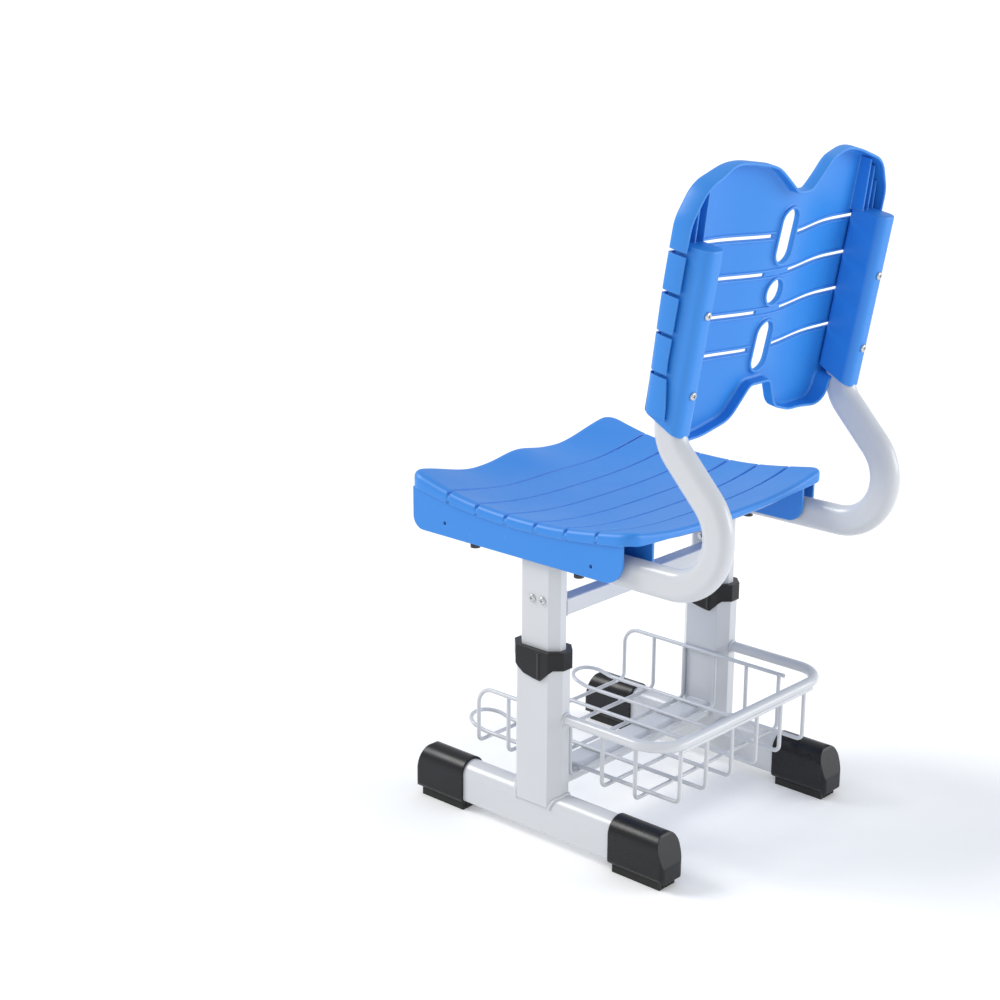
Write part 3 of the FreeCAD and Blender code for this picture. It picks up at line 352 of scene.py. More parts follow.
def object_from(name, bm):
    mesh = bpy.data.meshes.new(name)
    bm.to_mesh(mesh)
    bm.free()
    obj = bpy.data.objects.new(name, mesh)
    bpy.context.scene.collection.objects.link(obj)
    return obj


def grid_faces(bm, rows):
    """Quads between neighbouring rows of vertices."""
    for a, b in zip(rows, rows[1:]):
        for i in range(len(a) - 1):
            bm.faces.new((a[i], a[i + 1], b[i + 1], b[i]))


def plate(bm, outline, offset, thick, holes=()):
    """Adds a flat plate in a YZ plane to a mesh; outline and holes are (y, z) lists, all in mm."""
    edges = []
    for loop in (outline, *holes):
        verts = [bm.verts.new(at(offset, y, z)) for y, z in loop]
        edges += [bm.edges.new((verts[i], verts[(i + 1) % len(verts)])) for i in range(len(verts))]
    faces = bmesh.ops.triangle_fill(bm, edges=edges, use_beauty=True)["geom"]
    faces = [f for f in faces if isinstance(f, bmesh.types.BMFace)]
    push = bmesh.ops.extrude_face_region(bm, geom=faces)["geom"]
    moved = [v for v in push if isinstance(v, bmesh.types.BMVert)]
    bmesh.ops.translate(bm, verts=moved, vec=(thick * MM, 0, 0))


def rounded_loop(corners, steps=8):
    """Polygon with rounded corners: corners are (a, b, radius)."""
    out = []
    count = len(corners)
    for i, (a, b, r) in enumerate(corners):
        here = Vector((a, b))
        before = (Vector(corners[i - 1][:2]) - here).normalized()
        after = (Vector(corners[(i + 1) % count][:2]) - here).normalized()
        if r <= 0:
            out.append((a, b))
            continue
        half = before.angle(after) / 2
        reach = r / math.tan(half)
        middle = here + (before + after).normalized() * (r / math.sin(half))
        start, end = here + before * reach - middle, here + after * reach - middle
        turn = start.angle_signed(end)
        for k in range(steps + 1):
            angle = -turn * k / steps
            spoke = Vector((start.x * math.cos(angle) - start.y * math.sin(angle),
                            start.x * math.sin(angle) + start.y * math.cos(angle)))
            out.append(tuple(middle + spoke))
    return out


# ---- seat ------------------------------------------------------------------------------
seat_low, seat_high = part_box("seat_shell")
SEAT_HALF = seat_high.x / MM
SEAT_FRONT = seat_low.y / MM - SHIFT_Y
SEAT_REAR = seat_high.y / MM - SHIFT_Y
SEAT_CORNER = 20.0
SEAT_WALL = 3.3
GROOVES = [-131.0 + 45.0 * i for i in range(6)]
SKIRT_X = SEAT_HALF - 2.5
SKIRT_BASE = 350.0
SKIRT_FRONT, SKIRT_REAR = -190.0, 130.0
FRONT_LIP_Z, REAR_LIP_Z = 381.0, 392.0


def smooth_step(low, high, value):
    t = min(1.0, max(0.0, (value - low) / (high - low)))
    return t * t * (3 - 2 * t)


def seat_middle(y):
    return 383.0 + 6.2e-4 * (y + 15.0) ** 2


def seat_height(x, y):
    """Dished top without its rolled rim: raised sides, raised front corners and a pommel."""
    front = math.exp(-((y - SEAT_FRONT) / 60.0) ** 2)
    side = (15.5 + 2.0 * smooth_step(20, 120, y)) * (abs(x) / SEAT_HALF) ** 2.8
    z = seat_middle(y) + (1 - front) * side + front * 19.0 * smooth_step(74.0, SEAT_HALF, abs(x))
    return z + 8.0 * math.exp(-(x / 38.0) ** 2 - ((y - SEAT_FRONT) / 50.0) ** 2)


def groove_depth(x, y):
    """A narrow channel between two slats, wider and deeper at the sides."""
    side = smooth_step(95.0, 175.0, abs(x))
    half = 1.5 + 0.9 * side
    deep = 2.9 + 0.3 * side
    nearest = min(abs(y - g) for g in GROOVES)
    return deep * (1 - smooth_step(half * 0.5, half, nearest))


def rim_normal(x, y):
    """Outward direction of the nearest edge of the seat, in plan."""
    side = max(0.0, abs(x) - (SEAT_HALF - SEAT_CORNER))
    middle = (SEAT_FRONT + SEAT_REAR) / 2
    end = max(0.0, abs(y - middle) - ((SEAT_REAR - SEAT_FRONT) / 2 - SEAT_CORNER))
    length = math.hypot(side, end) or 1.0
    return math.copysign(side / length, x), math.copysign(end / length, y - middle)


def seat_half_width(y):
    """Half width of the rounded plan at a place along it."""
    end = min(y - SEAT_FRONT, SEAT_REAR - y)
    if end >= SEAT_CORNER:
        return SEAT_HALF
    return SEAT_HALF - SEAT_CORNER + math.sqrt(max(0.0, SEAT_CORNER ** 2 - (SEAT_CORNER - end) ** 2))


def rim_distance(x, y):
    """Distance in from the seat's outline."""
    side = abs(x) - (SEAT_HALF - SEAT_CORNER)
    end = abs(y - (SEAT_FRONT + SEAT_REAR) / 2) - ((SEAT_REAR - SEAT_FRONT) / 2 - SEAT_CORNER)
    if side > 0 and end > 0:
        return max(0.0, SEAT_CORNER - math.hypot(side, end))
    return max(0.0, SEAT_CORNER - max(side, end))


def rolled_drop(x, y):
    """Fall of the rounded rim; the rear edge has a smaller radius."""
    _, ny = rim_normal(x, y)
    radius = 9.5 - 3.5 * max(0.0, ny) ** 2
    inside = rim_distance(x, y)
    if inside >= radius:
        return 0.0
    return radius - math.sqrt(max(0.0, radius ** 2 - (radius - inside) ** 2))


def lip_bottom(x, y):
    """Lower edge of the rim: curved along each side, nearly level in front and behind."""
    fall = 6.6e-4 if y < -28.0 else 4.9e-4
    side = 384.6 + fall * (y + 28.0) ** 2
    end = FRONT_LIP_Z if y < 0 else REAR_LIP_Z + 6.0 * (abs(x) / SEAT_HALF) ** 3
    nx, _ = rim_normal(x, y)
    return end + (side - end) * smooth_step(0.35, 0.95, abs(nx))


def seat_rows():
    """Places of the mesh rows, close together at grooves and at both ends."""
    ends = [0.0, 0.3, 0.8, 1.5, 2.4, 3.5, 5.0, 6.7, 8.5, 10.5, 14.0, 18.5, 24.0]
    rows = {SEAT_FRONT + d for d in ends} | {SEAT_REAR - d for d in ends}
    for g in GROOVES:
        rows |= {g + s * d for d in (0.3, 0.65, 0.9, 1.1, 1.3, 1.6, 2.0, 2.5, 3.6, 6.0) for s in (-1, 1)}
    out = []
    for y in sorted(rows):
        if out:
            start = out[-1]
            pieces = max(1, math.ceil((y - start) / 7.0))
            out += [start + (y - start) * k / pieces for k in range(1, pieces + 1)]
        else:
            out.append(y)
    return out


def seat_columns(y):
    """X places across one row, close together at the rims."""
    half = seat_half_width(y)
    ends = [0.0, 0.3, 0.8, 1.5, 2.4, 3.5, 5.0, 6.7, 8.5, 10.5, 14.0]
    inner = half - 14.0
    count = 46
    middle = [-inner + 2 * inner * k / count for k in range(count + 1)]
    return [-half + d for d in ends[:-1]] + middle + [half - d for d in reversed(ends[:-1])]


def seat_sheet(bm, inset, below):
    """One face of the deck with its rim; gives back the lowest ring of vertices."""
    scale_x = (SEAT_HALF - inset) / SEAT_HALF
    middle = (SEAT_FRONT + SEAT_REAR) / 2
    scale_y = 1 - 2 * inset / (SEAT_REAR - SEAT_FRONT)
    rows, plan = [], []
    for y in seat_rows():
        places = [(x, y, seat_height(x, y) - rolled_drop(x, y) - groove_depth(x, y))
                  for x in seat_columns(y)]
        rows.append([bm.verts.new(at(x * scale_x, middle + (y - middle) * scale_y, z - below))
                     for x, _, z in places])
        plan.append(places)
    grid_faces(bm, rows)
    last, width = len(rows) - 1, len(rows[0])
    loop = [(0, j) for j in range(width)] + [(i, width - 1) for i in range(1, last + 1)]
    loop += [(last, j) for j in range(width - 2, -1, -1)] + [(i, 0) for i in range(last - 1, 0, -1)]
    ring = [rows[i][j] for i, j in loop]
    for fraction in (0.25, 0.5, 0.75, 0.9, 1.0):
        new = []
        for i, j in loop:
            x, y, z = plan[i][j]
            nx, ny = rim_normal(x, y)
            notch = groove_depth(x, y) * 0.85 if abs(x) > SEAT_HALF - 3 and not below else 0.0
            tuck = notch + (0.7 if fraction == 1.0 and not below else 0.0)
            top = z - below
            low = min(lip_bottom(x, y), top - 2.0)
            new.append(bm.verts.new(at(x * scale_x - nx * tuck, middle + (y - middle) * scale_y - ny * tuck,
                                       top + (low - top) * fraction)))
        for k in range(len(ring)):
            n = (k + 1) % len(ring)
            bm.faces.new((ring[k], new[k], new[n], ring[n]))
        ring = new
    return ring


def build_seat():
    bm = bmesh.new()
    outer = seat_sheet(bm, 0.0, 0.0)
    inner = seat_sheet(bm, SEAT_WALL, SEAT_WALL)
    for k in range(len(outer)):
        n = (k + 1) % len(outer)
        bm.faces.new((outer[k], inner[k], inner[n], outer[n]))
    bmesh.ops.remove_doubles(bm, verts=bm.verts, dist=1e-6)
    add_underside(bm)
    bmesh.ops.recalc_face_normals(bm, faces=bm.faces)
    return finish_piece(object_from("seat", bm), "upper", "blue_plastic", replaces=["seat_shell"])


def circle_loop(a, b, radius, count=20):
    return [(a + radius * math.cos(math.tau * k / count), b + radius * math.sin(math.tau * k / count))
            for k in range(count)]


def wall_outline(y0, y1, base, r0, r1, top):
    """Upright wall: rounded bottom corners, upper edge following a height rule."""
    bottom = rounded_loop([(y0, base + 60, 0), (y0, base, r0), (y1, base, r1), (y1, base + 60, 0)])[1:-1]
    return bottom + [(y1 + (y0 - y1) * k / 32, top(y1 + (y0 - y1) * k / 32)) for k in range(33)]


def add_slab(bm, x0, x1, y0, y1, z0, z1):
    """Adds a box given in mm."""
    verts = [bm.verts.new(at(x, y, z)) for x in (x0, x1) for y in (y0, y1) for z in (z0, z1)]
    for f in ((0, 1, 3, 2), (4, 6, 7, 5), (0, 4, 5, 1), (2, 3, 7, 6), (0, 2, 6, 4), (1, 5, 7, 3)):
        bm.faces.new([verts[i] for i in f])


def add_underside(bm):
    """Skirts, tube channels and ribs under the seat."""
    tube_top = 378.5
    for side in (1, -1):
        skirt = wall_outline(SKIRT_FRONT, SKIRT_REAR, SKIRT_BASE, 16.0, 25.0,
                             lambda y: seat_height(SKIRT_X, y) - 10.5 - 9.0 * smooth_step(-160.0, -188.0, y))
        holes = [circle_loop(-138.0, 366.0, 2.4), circle_loop(86.0, 364.0, 2.4)]
        plate(bm, skirt, side * SKIRT_X, -side * SEAT_WALL, holes)
        wall = wall_outline(-182.0, 141.0, SKIRT_BASE + 1.0, 14.0, 20.0,
                            lambda y: seat_height(145.0, y) - 2.0)
        plate(bm, wall, side * 143.0, side * SEAT_WALL)
        low, high = sorted((side * 146.0, side * (SKIRT_X - 1)))
        for y in (-165.0, -60.0, 0.0, 100.0):
            add_slab(bm, low, high, y - 1.5, y + 1.5, tube_top, seat_middle(y) + 2.0)
    for y in (-120.0, -20.0, 80.0):
        add_slab(bm, -143.5, 143.5, y - 1.2, y + 1.2, seat_middle(y) - 13.0, seat_middle(y) - 4.5)


build_seat()


# ---- backrest ----------------------------------------------------------------------------
LEAN = math.radians(10.2)
BACK_FOOT = Vector((0.0, 200.4, 572.0))
BACK_UP = Vector((0.0, math.sin(LEAN), math.cos(LEAN)))
BACK_REARWARD = Vector((0.0, math.cos(LEAN), -math.sin(LEAN)))
HALF_OUTLINE = [(0, 200, 0), (11, 200, 12), (50, 230, 40), (108, 236, 100), (163, 217, 40), (183, 180, 40),
                (183, 130, 60), (182, -32, 8), (148.5, -45, 8), (147, -76, 24), (85, -75, 80), (42, -61, 35),
                (18, -23.5, 9), (0, -23.5, 0)]
SLOTS = [16.0 + 43.8 * i for i in range(4)]
SLOT_HALF = 2.25
SLOT_START = 22.0
HOLES = [(146.0, 62.0), (82.0, 29.0), (18.5, 58.0)]
HOLE_W = 28.0
HOLE_RIM = 3.0
PANEL_WALL = 3.0
RIM_WALL = 3.0
EDGE_ROUND = 5.5
SLEEVE_HALF = 14.75
SLEEVE_WALL = 3.0
SLEEVE_FRONT_ROUND = 5.0


def back_at(x, rearward, up):
    """A point in the back's own frame, in mm, brought to the row frame."""
    p = BACK_FOOT + BACK_REARWARD * rearward + BACK_UP * up
    return at(x, p.y, p.z)


def panel_depth(x, up):
    """Rear face of the panel."""
    t = min(abs(x), 122.0) / 122.0
    middle = -35.2 + 0.0385 * up
    return middle + (-47.0 - middle) * (1 - math.cos(math.pi * t)) / 2


def back_outline():
    """Closed outline of the back as (x, up) points, finely spaced."""
    right = [(x, up, r) for x, up, r in HALF_OUTLINE[1:-1]]
    left = [(-x, up, r) for x, up, r in reversed(right)]
    coarse = rounded_loop(right + left, 10)
    out = []
    for i, a in enumerate(coarse):
        a, b = Vector(a), Vector(coarse[(i + 1) % len(coarse)])
        if (b - a).length < 0.2:
            continue
        pieces = max(1, math.ceil((b - a).length / 4.0))
        out += [a.lerp(b, k / pieces) for k in range(pieces)]
    return out


def oval(middle, height, width, count=14):
    """Upright slot shape with round ends."""
    straight = (height - width) / 2
    out = []
    for end in (1, -1):
        for k in range(count + 1):
            angle = math.pi * k / count
            out.append(Vector((end * width / 2 * math.cos(angle),
                               middle + end * (straight + width / 2 * math.sin(angle)))))
    return out


def distance_to_loop(p, loop, reach):
    """Distance to a closed loop, or the reach when further away."""
    best = reach
    for i, a in enumerate(loop):
        if abs(a.x - p.x) > reach + 6 or abs(a.y - p.y) > reach + 6:
            continue
        b = loop[(i + 1) % len(loop)]
        span = b - a
        t = max(0.0, min(1.0, (p - a).dot(span) / max(span.length_squared, 1e-9)))
        best = min(best, (a + span * t - p).length)
    return best


def oval_distance(p, middle, height, width):
    """Signed distance outside an oval."""
    straight = max(0.0, (height - width) / 2)
    dy = max(0.0, abs(p.y - middle) - straight)
    return math.hypot(p.x, dy) - width / 2


def inside_loop(p, loop):
    hit = False
    for i, a in enumerate(loop):
        b = loop[(i + 1) % len(loop)]
        if (a.y > p.y) != (b.y > p.y) and p.x < (b.x - a.x) * (p.y - a.y) / (b.y - a.y) + a.x:
            hit = not hit
    return hit


def inset_loop(loop, amount):
    """Loop moved inwards along its own normals."""
    out = []
    for i, p in enumerate(loop):
        along = (loop[(i + 1) % len(loop)] - loop[i - 1]).normalized()
        out.append(p + Vector((-along.y, along.x)) * amount)
    return out


def in_slot(p):
    return abs(p.x) > SLOT_START and any(abs(p.y - up) < SLOT_HALF for up in SLOTS)


def back_rear(p, edge):
    """Rear surface: panel, rim along the outline and rims round the holes."""
    base = panel_depth(p.x, p.y)
    foot = smooth_step(150.0, 178.0, abs(p.x)) * (1 - smooth_step(-30.0, 35.0, p.y))
    rim = base + 13.0 + 9.0 * smooth_step(95.0, 150.0, abs(p.x)) + 8.0 * foot
    fillet = 2.0 * max(0.0, 1 - max(0.0, edge - RIM_WALL) / 3.0) ** 2
    height = base + fillet
    if edge < RIM_WALL + 0.05:
        height = rim - 0.8 * max(0.0, 1 - min(edge, RIM_WALL - edge) / 0.8) ** 2
    near = min(oval_distance(p, up, h, HOLE_W) for up, h in HOLES)
    if near < HOLE_RIM + 0.05:
        height = max(height, base + 3.8 - 0.7 * max(0.0, 1 - min(near, HOLE_RIM - near) / 0.7) ** 2)
    elif near < HOLE_RIM + 3.0:
        height = max(height, base + 1.2 * (1 - (near - HOLE_RIM) / 3.0) ** 2)
    return height


def back_front(p, edge):
    """Front surface, rolled back towards the outline."""
    base = panel_depth(p.x, p.y) - PANEL_WALL
    radius = EDGE_ROUND + 9.0 * smooth_step(150.0, 178.0, abs(p.x)) * (1 - smooth_step(-40.0, 130.0, p.y))
    if edge < radius:
        base += radius - math.sqrt(max(0.0, radius ** 2 - (radius - edge) ** 2))
    return base


def back_sheet(bm):
    """Panel with rim, holes and slots as one closed mesh over a flat triangulation."""
    outline = back_outline()
    if sum(a.x * b.y - b.x * a.y for a, b in zip(outline, outline[1:] + outline[:1])) < 0:
        outline.reverse()
    points, edges, loops = [], [], []
    insets = (0.0, 0.2, 0.5, 0.9, 1.5, 2.2, RIM_WALL, RIM_WALL + 0.12, 3.9, 5.0, 7.0)
    for inset in insets:
        loops.append(inset_loop(outline, inset) if inset else outline)
    for up, height in HOLES:
        for grow in (0.0, 0.35, 0.7, 1.5, 2.3, 2.65, HOLE_RIM, HOLE_RIM + 0.12, 4.0, 5.0, 6.0):
            loops.append(oval(up, height + 2 * grow, HOLE_W + 2 * grow))
    for up in SLOTS:
        for side in (-1, 1):
            xs = [SLOT_START + (192.0 - SLOT_START) * k / 44 for k in range(45)]
            loops.append([Vector((side * x, up - SLOT_HALF)) for x in xs]
                         + [Vector((side * x, up + SLOT_HALF)) for x in reversed(xs)])
    for loop in loops:
        start = len(points)
        points += loop
        edges += [(start + i, start + (i + 1) % len(loop)) for i in range(len(loop))]
    inner = loops[len(insets) - 1]
    for i in range(-45, 46):
        for j in range(-19, 60):
            p = Vector((i * 4.0, j * 4.0))
            if inside_loop(p, inner) and distance_to_loop(p, inner, 2.5) >= 2.5:
                if min(oval_distance(p, up, h, HOLE_W) for up, h in HOLES) > 7.5:
                    points.append(p)
    flat, _, faces, _, _, _ = delaunay_2d_cdt(points, edges, [], 0, 1e-4)
    near = [distance_to_loop(p, outline, 12.0) for p in flat]
    rear = [bm.verts.new(back_at(p.x, back_rear(p, d), p.y)) for p, d in zip(flat, near)]
    front = [bm.verts.new(back_at(p.x, back_front(p, d), p.y)) for p, d in zip(flat, near)]
    uses = {}
    for face in faces:
        middle = sum((flat[i] for i in face), Vector((0.0, 0.0))) / len(face)
        if not inside_loop(middle, outline) or in_slot(middle):
            continue
        if min(oval_distance(middle, up, h, HOLE_W) for up, h in HOLES) < 0:
            continue
        bm.faces.new([rear[i] for i in face])
        bm.faces.new([front[i] for i in reversed(face)])
        for i, j in zip(face, face[1:] + face[:1]):
            uses[(i, j)] = True
    for i, j in uses:
        if (j, i) not in uses:
            bm.faces.new((rear[j], rear[i], front[i], front[j]))
    loose = [v for v in bm.verts if not v.link_faces]
    bmesh.ops.delete(bm, geom=loose, context="VERTS")


def sleeve_section(half, rear, front, radius):
    """D-shaped section of a sleeve as (x, rearward) points."""
    corners = [(-half, front, SLEEVE_FRONT_ROUND), (half, front, SLEEVE_FRONT_ROUND),
               (half, rear, radius), (-half, rear, radius)]
    return rounded_loop(corners)


def add_sleeve(bm, side):
    """Closed-top channel the side tube slides into, open and slanted below."""
    outer = sleeve_section(SLEEVE_HALF, 0.0, -45.5, 11.0)
    inner = sleeve_section(SLEEVE_HALF - SLEEVE_WALL, -SLEEVE_WALL, -42.5, 8.5)
    rings = []

    def ring(section, up, shrink=0.0):
        row = []
        for x, a in section:
            x, a = x * (1 - shrink / SLEEVE_HALF), a - shrink * (1 if a > -20 else -1) * 0.8
            low = -47.0 + 16.0 * min(1.0, -a / 47.0)
            row.append(bm.verts.new(back_at(side * 162.0 + x, a, low if up is None else up)))
        rings.append(row)

    ring(inner, 153.5)
    ring(inner, None)
    ring(outer, None)
    for up in (0.0, 50.0, 100.0, 155.0):
        ring(outer, up)
    ring(outer, 156.3, 0.35)
    ring(outer, 157.0, 1.3)
    for a, b in zip(rings, rings[1:]):
        for k in range(len(a)):
            n = (k + 1) % len(a)
            bm.faces.new((a[k], a[n], b[n], b[k]))
    bm.faces.new(rings[0])
    bm.faces.new(rings[-1])


def add_back_plate(bm, x0, x1, corners):
    """Flat rib across the thickness between two x places; corners are (rearward, up)."""
    sides_verts = [[bm.verts.new(back_at(x, a, w)) for a, w in corners] for x in (x0, x1)]
    first, second = sides_verts
    bm.faces.new(first)
    bm.faces.new(second[::-1])
    for k in range(len(first)):
        n = (k + 1) % len(first)
        bm.faces.new((first[k], first[n], second[n], second[k]))


def build_back():
    bm = bmesh.new()
    back_sheet(bm)
    outline = back_outline()
    for side in (-1, 1):
        add_sleeve(bm, side)
        for i, x in enumerate((149.5, 161.5, 173.5)):
            top = min(p.y for p in outline if abs(p.x - x) < 4.5 and p.y > 150.0) - 3.0
            corners = [(-48.5, 155.0), (-30.0 - 1.5 * i, 155.0), (-33.0 - 1.0 * i, top), (-48.5, top)]
            add_back_plate(bm, side * x - 0.9, side * x + 0.9, corners)
    bmesh.ops.recalc_face_normals(bm, faces=bm.faces)
    return finish_piece(object_from("backrest", bm), "upper", "blue_plastic", replaces=["backrest_shell"])


build_back()


def build_slot_lips():
    """Raised bead above and below each slot, carried across the middle between the holes."""
    bm = bmesh.new()
    section = [(math.cos(math.pi * k / 6), math.sin(math.pi * k / 6)) for k in range(7)]
    section += [(-1.0, -0.7), (1.0, -0.7)]
    for number, up in enumerate(SLOTS):
        crosses = number in (1, 2)
        spans = [(-147.0, 147.0)] if crosses else [(-147.0, -16.0), (16.0, 147.0)]
        for start, end in spans:
            for edge in (-1, 1):
                rows = []
                count = 80 if crosses else 40
                for k in range(count + 1):
                    x = start + (end - start) * k / count
                    fade = 0.4 + 0.6 * smooth_step(0, 2, k) * smooth_step(0, 2, count - k)
                    w = up + edge * 4.1
                    base = panel_depth(x, w)
                    rows.append([bm.verts.new(back_at(x, base + b * 1.7 * fade, w + a * 1.35))
                                 for a, b in section])
                for a, b in zip(rows, rows[1:]):
                    for i in range(len(section)):
                        j = (i + 1) % len(section)
                        bm.faces.new((a[i], a[j], b[j], b[i]))
                bm.faces.new(rows[0][::-1])
                bm.faces.new(rows[-1])
    bmesh.ops.recalc_face_normals(bm, faces=bm.faces)
    return finish_piece(object_from("slot_lips", bm), "upper", "blue_plastic")


build_slot_lips()


# ---- welds -------------------------------------------------------------------------------
def geometry_tree(name, inputs):
    """Empty geometry tree; inputs are (name, socket type, default)."""
    tree = bpy.data.node_groups.new(name, "GeometryNodeTree")
    tree.interface.new_socket("Geometry", in_out="INPUT", socket_type="NodeSocketGeometry")
    for label, kind, default in inputs:
        socket = tree.interface.new_socket(label, in_out="INPUT", socket_type=kind)
        if default is not None:
            socket.default_value = default
    tree.interface.new_socket("Geometry", in_out="OUTPUT", socket_type="NodeSocketGeometry")
    t = Tree(tree)
    return tree, t, t.add("NodeGroupInput"), t.add("NodeGroupOutput")


def weld_bead_tree():
    """Lumpy bead along a path."""
    tree, t, gin, gout = geometry_tree("weld_bead", [
        ("Radius", "NodeSocketFloat", 0.0018), ("Step", "NodeSocketFloat", 0.0016),
        ("Lumps", "NodeSocketFloat", 0.0006), ("Finish", "NodeSocketMaterial", None)])
    even = t.add("GeometryNodeResampleCurve", {"Curve": gin.outputs["Geometry"],
                                               "Length": gin.outputs["Step"]}, mode="LENGTH")
    ring = t.add("GeometryNodeCurvePrimitiveCircle", {"Resolution": 10, "Radius": gin.outputs["Radius"]})
    solid = t.add("GeometryNodeCurveToMesh", {"Curve": even.outputs["Curve"],
                                              "Profile Curve": ring.outputs["Curve"], "Fill Caps": True})
    cloud = t.add("ShaderNodeTexNoise", {"Scale": 380.0, "Detail": 1.0})
    centred = t.add("ShaderNodeVectorMath", {0: cloud.outputs["Color"], 1: (0.5, 0.5, 0.5)},
                    operation="SUBTRACT")
    sized = t.add("ShaderNodeVectorMath", {0: centred.outputs["Vector"],
                                           "Scale": gin.outputs["Lumps"]}, operation="SCALE")
    moved = t.add("GeometryNodeSetPosition", {"Geometry": solid.outputs["Mesh"],
                                              "Offset": sized.outputs["Vector"]})
    painted = t.add("GeometryNodeSetMaterial", {"Geometry": moved.outputs["Geometry"],
                                                "Material": gin.outputs["Finish"]})
    whole = t.add("GeometryNodeRealizeInstances", {"Geometry": painted.outputs["Geometry"]})
    t.join(whole.outputs["Geometry"], gout.inputs["Geometry"])
    return tree


def spot_weld_tree():
    """Small flattened lump at each vertex of a mesh."""
    tree, t, gin, gout = geometry_tree("spot_weld", [
        ("Radius", "NodeSocketFloat", 0.0028), ("Seed", "NodeSocketInt", 5),
        ("Finish", "NodeSocketMaterial", None)])
    lump = t.add("GeometryNodeMeshIcoSphere", {"Radius": gin.outputs["Radius"], "Subdivisions": 2})
    size = t.add("FunctionNodeRandomValue", {"Min": (0.85, 0.85, 0.85), "Max": (1.2, 1.2, 1.1),
                                             "Seed": gin.outputs["Seed"]}, data_type="FLOAT_VECTOR")
    points = t.add("GeometryNodeMeshToPoints", {"Mesh": gin.outputs["Geometry"]})
    placed = t.add("GeometryNodeInstanceOnPoints", {"Points": points.outputs["Points"],
                                                    "Instance": lump.outputs["Mesh"],
                                                    "Scale": size.outputs["Value"]})
    painted = t.add("GeometryNodeSetMaterial", {"Geometry": placed.outputs["Instances"],
                                                "Material": gin.outputs["Finish"]})
    whole = t.add("GeometryNodeRealizeInstances", {"Geometry": painted.outputs["Geometry"]})
    t.join(whole.outputs["Geometry"], gout.inputs["Geometry"])
    return tree


def grown(obj, tree, **values):
    """Runs a geometry tree on an object and leaves a plain mesh in its place."""
    modifier = obj.modifiers.new(tree.name, "NODES")
    modifier.node_group = tree
    for item in tree.interface.items_tree:
        if item.item_type == "SOCKET" and item.in_out == "INPUT" and item.name in values:
            modifier[item.identifier] = values[item.name]
    graph = bpy.context.evaluated_depsgraph_get()
    mesh = bpy.data.meshes.new_from_object(obj.evaluated_get(graph))
    name = obj.name
    bpy.data.objects.remove(obj)
    result = bpy.data.objects.new(name, mesh)
    bpy.context.scene.collection.objects.link(result)
    return result


def path_object(name, paths):
    """Curve object holding poly splines; each path is (points, closed)."""
    curve = bpy.data.curves.new(name + "_path", "CURVE")
    curve.dimensions = "3D"
    for points, closed in paths:
        spline = curve.splines.new("POLY")
        spline.points.add(len(points) - 1)
        for slot_point, p in zip(spline.points, points):
            slot_point.co = (*p, 1.0)
        spline.use_cyclic_u = closed
    obj = bpy.data.objects.new(name, curve)
    bpy.context.scene.collection.objects.link(obj)
    return obj


WELD_BEAD = weld_bead_tree()
SPOT_WELD = spot_weld_tree()


def ring_path(middle, radius, normal, count=24):
    """Circle of points round a tube's end."""
    turn = Vector((0, 0, 1)).rotation_difference(Vector(normal))
    return [middle + turn @ Vector((radius * MM * math.cos(math.tau * k / count),
                                    radius * MM * math.sin(math.tau * k / count), 0))
            for k in range(count)]


def bar_ring(node, side, inset, corner):
    """Line round the end of a crossbar, a little in from its end."""
    low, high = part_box(node)
    middle, half = (low + high) / 2 / MM, (high - low) / 2 / MM
    y = middle.y - SHIFT_Y
    loop = rounded_loop([(y - half.y, middle.z - half.z, corner), (y + half.y, middle.z - half.z, corner),
                         (y + half.y, middle.z + half.z, corner), (y - half.y, middle.z + half.z, corner)],
                        4)
    return [at(side * (high.x / MM - inset), a, b) for a, b in loop]


def foot_saddle(side, end):
    """Line where one flat end of an upright meets the rounded foot."""
    foot_low, foot_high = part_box("left_foot_tube")
    half = (foot_high.x - foot_low.x) / 2 / MM
    crown = foot_high.z / MM - half
    up_low, up_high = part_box("left_outer_upright")
    y = (up_high.y if end > 0 else up_low.y) / MM - SHIFT_Y
    chamfer = 12.0
    flat = (up_high.x - up_low.x) / 2 / MM - chamfer
    points = []
    for k in range(33):
        dx = -half + 2 * half * k / 32
        step_in = max(0.0, abs(dx) - flat)
        z = crown + math.sqrt(max(0.0, half ** 2 - dx ** 2))
        points.append(at(side * LEG_X + dx, y - end * (step_in - 0.3), z + 0.3))
    return points


def build_welds():
    foot_paths = []
    base_paths = []
    upper_paths = []
    frame_low, frame_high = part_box("basket_frame_tube")
    frame_y = frame_low.y / MM - SHIFT_Y + 1.0
    frame_z = (frame_low.z + frame_high.z) / 2 / MM
    for side in (1, -1):
        for end in (1, -1):
            foot_paths.append((foot_saddle(side, end), False))
        base_paths.append((bar_ring("lower_crossbar", side, 1.0, 7.0), True))
        base_paths.append((ring_path(at(side * LEG_X, frame_y, frame_z), 6.6, (0, 1, 0)), True))
        upper_paths.append((bar_ring("upper_crossbar", side, 0.4, 2.5), True))
    for name, body, paths, radius in (("foot_welds", "base", foot_paths, 0.0026),
                                      ("base_welds", "base", base_paths, 0.0017),
                                      ("upper_welds", "upper", upper_paths, 0.0012)):
        beads = grown(path_object(name, paths), WELD_BEAD, Radius=radius, Finish=MATERIALS["white_steel"])
        finish_piece(beads, body, "white_steel")


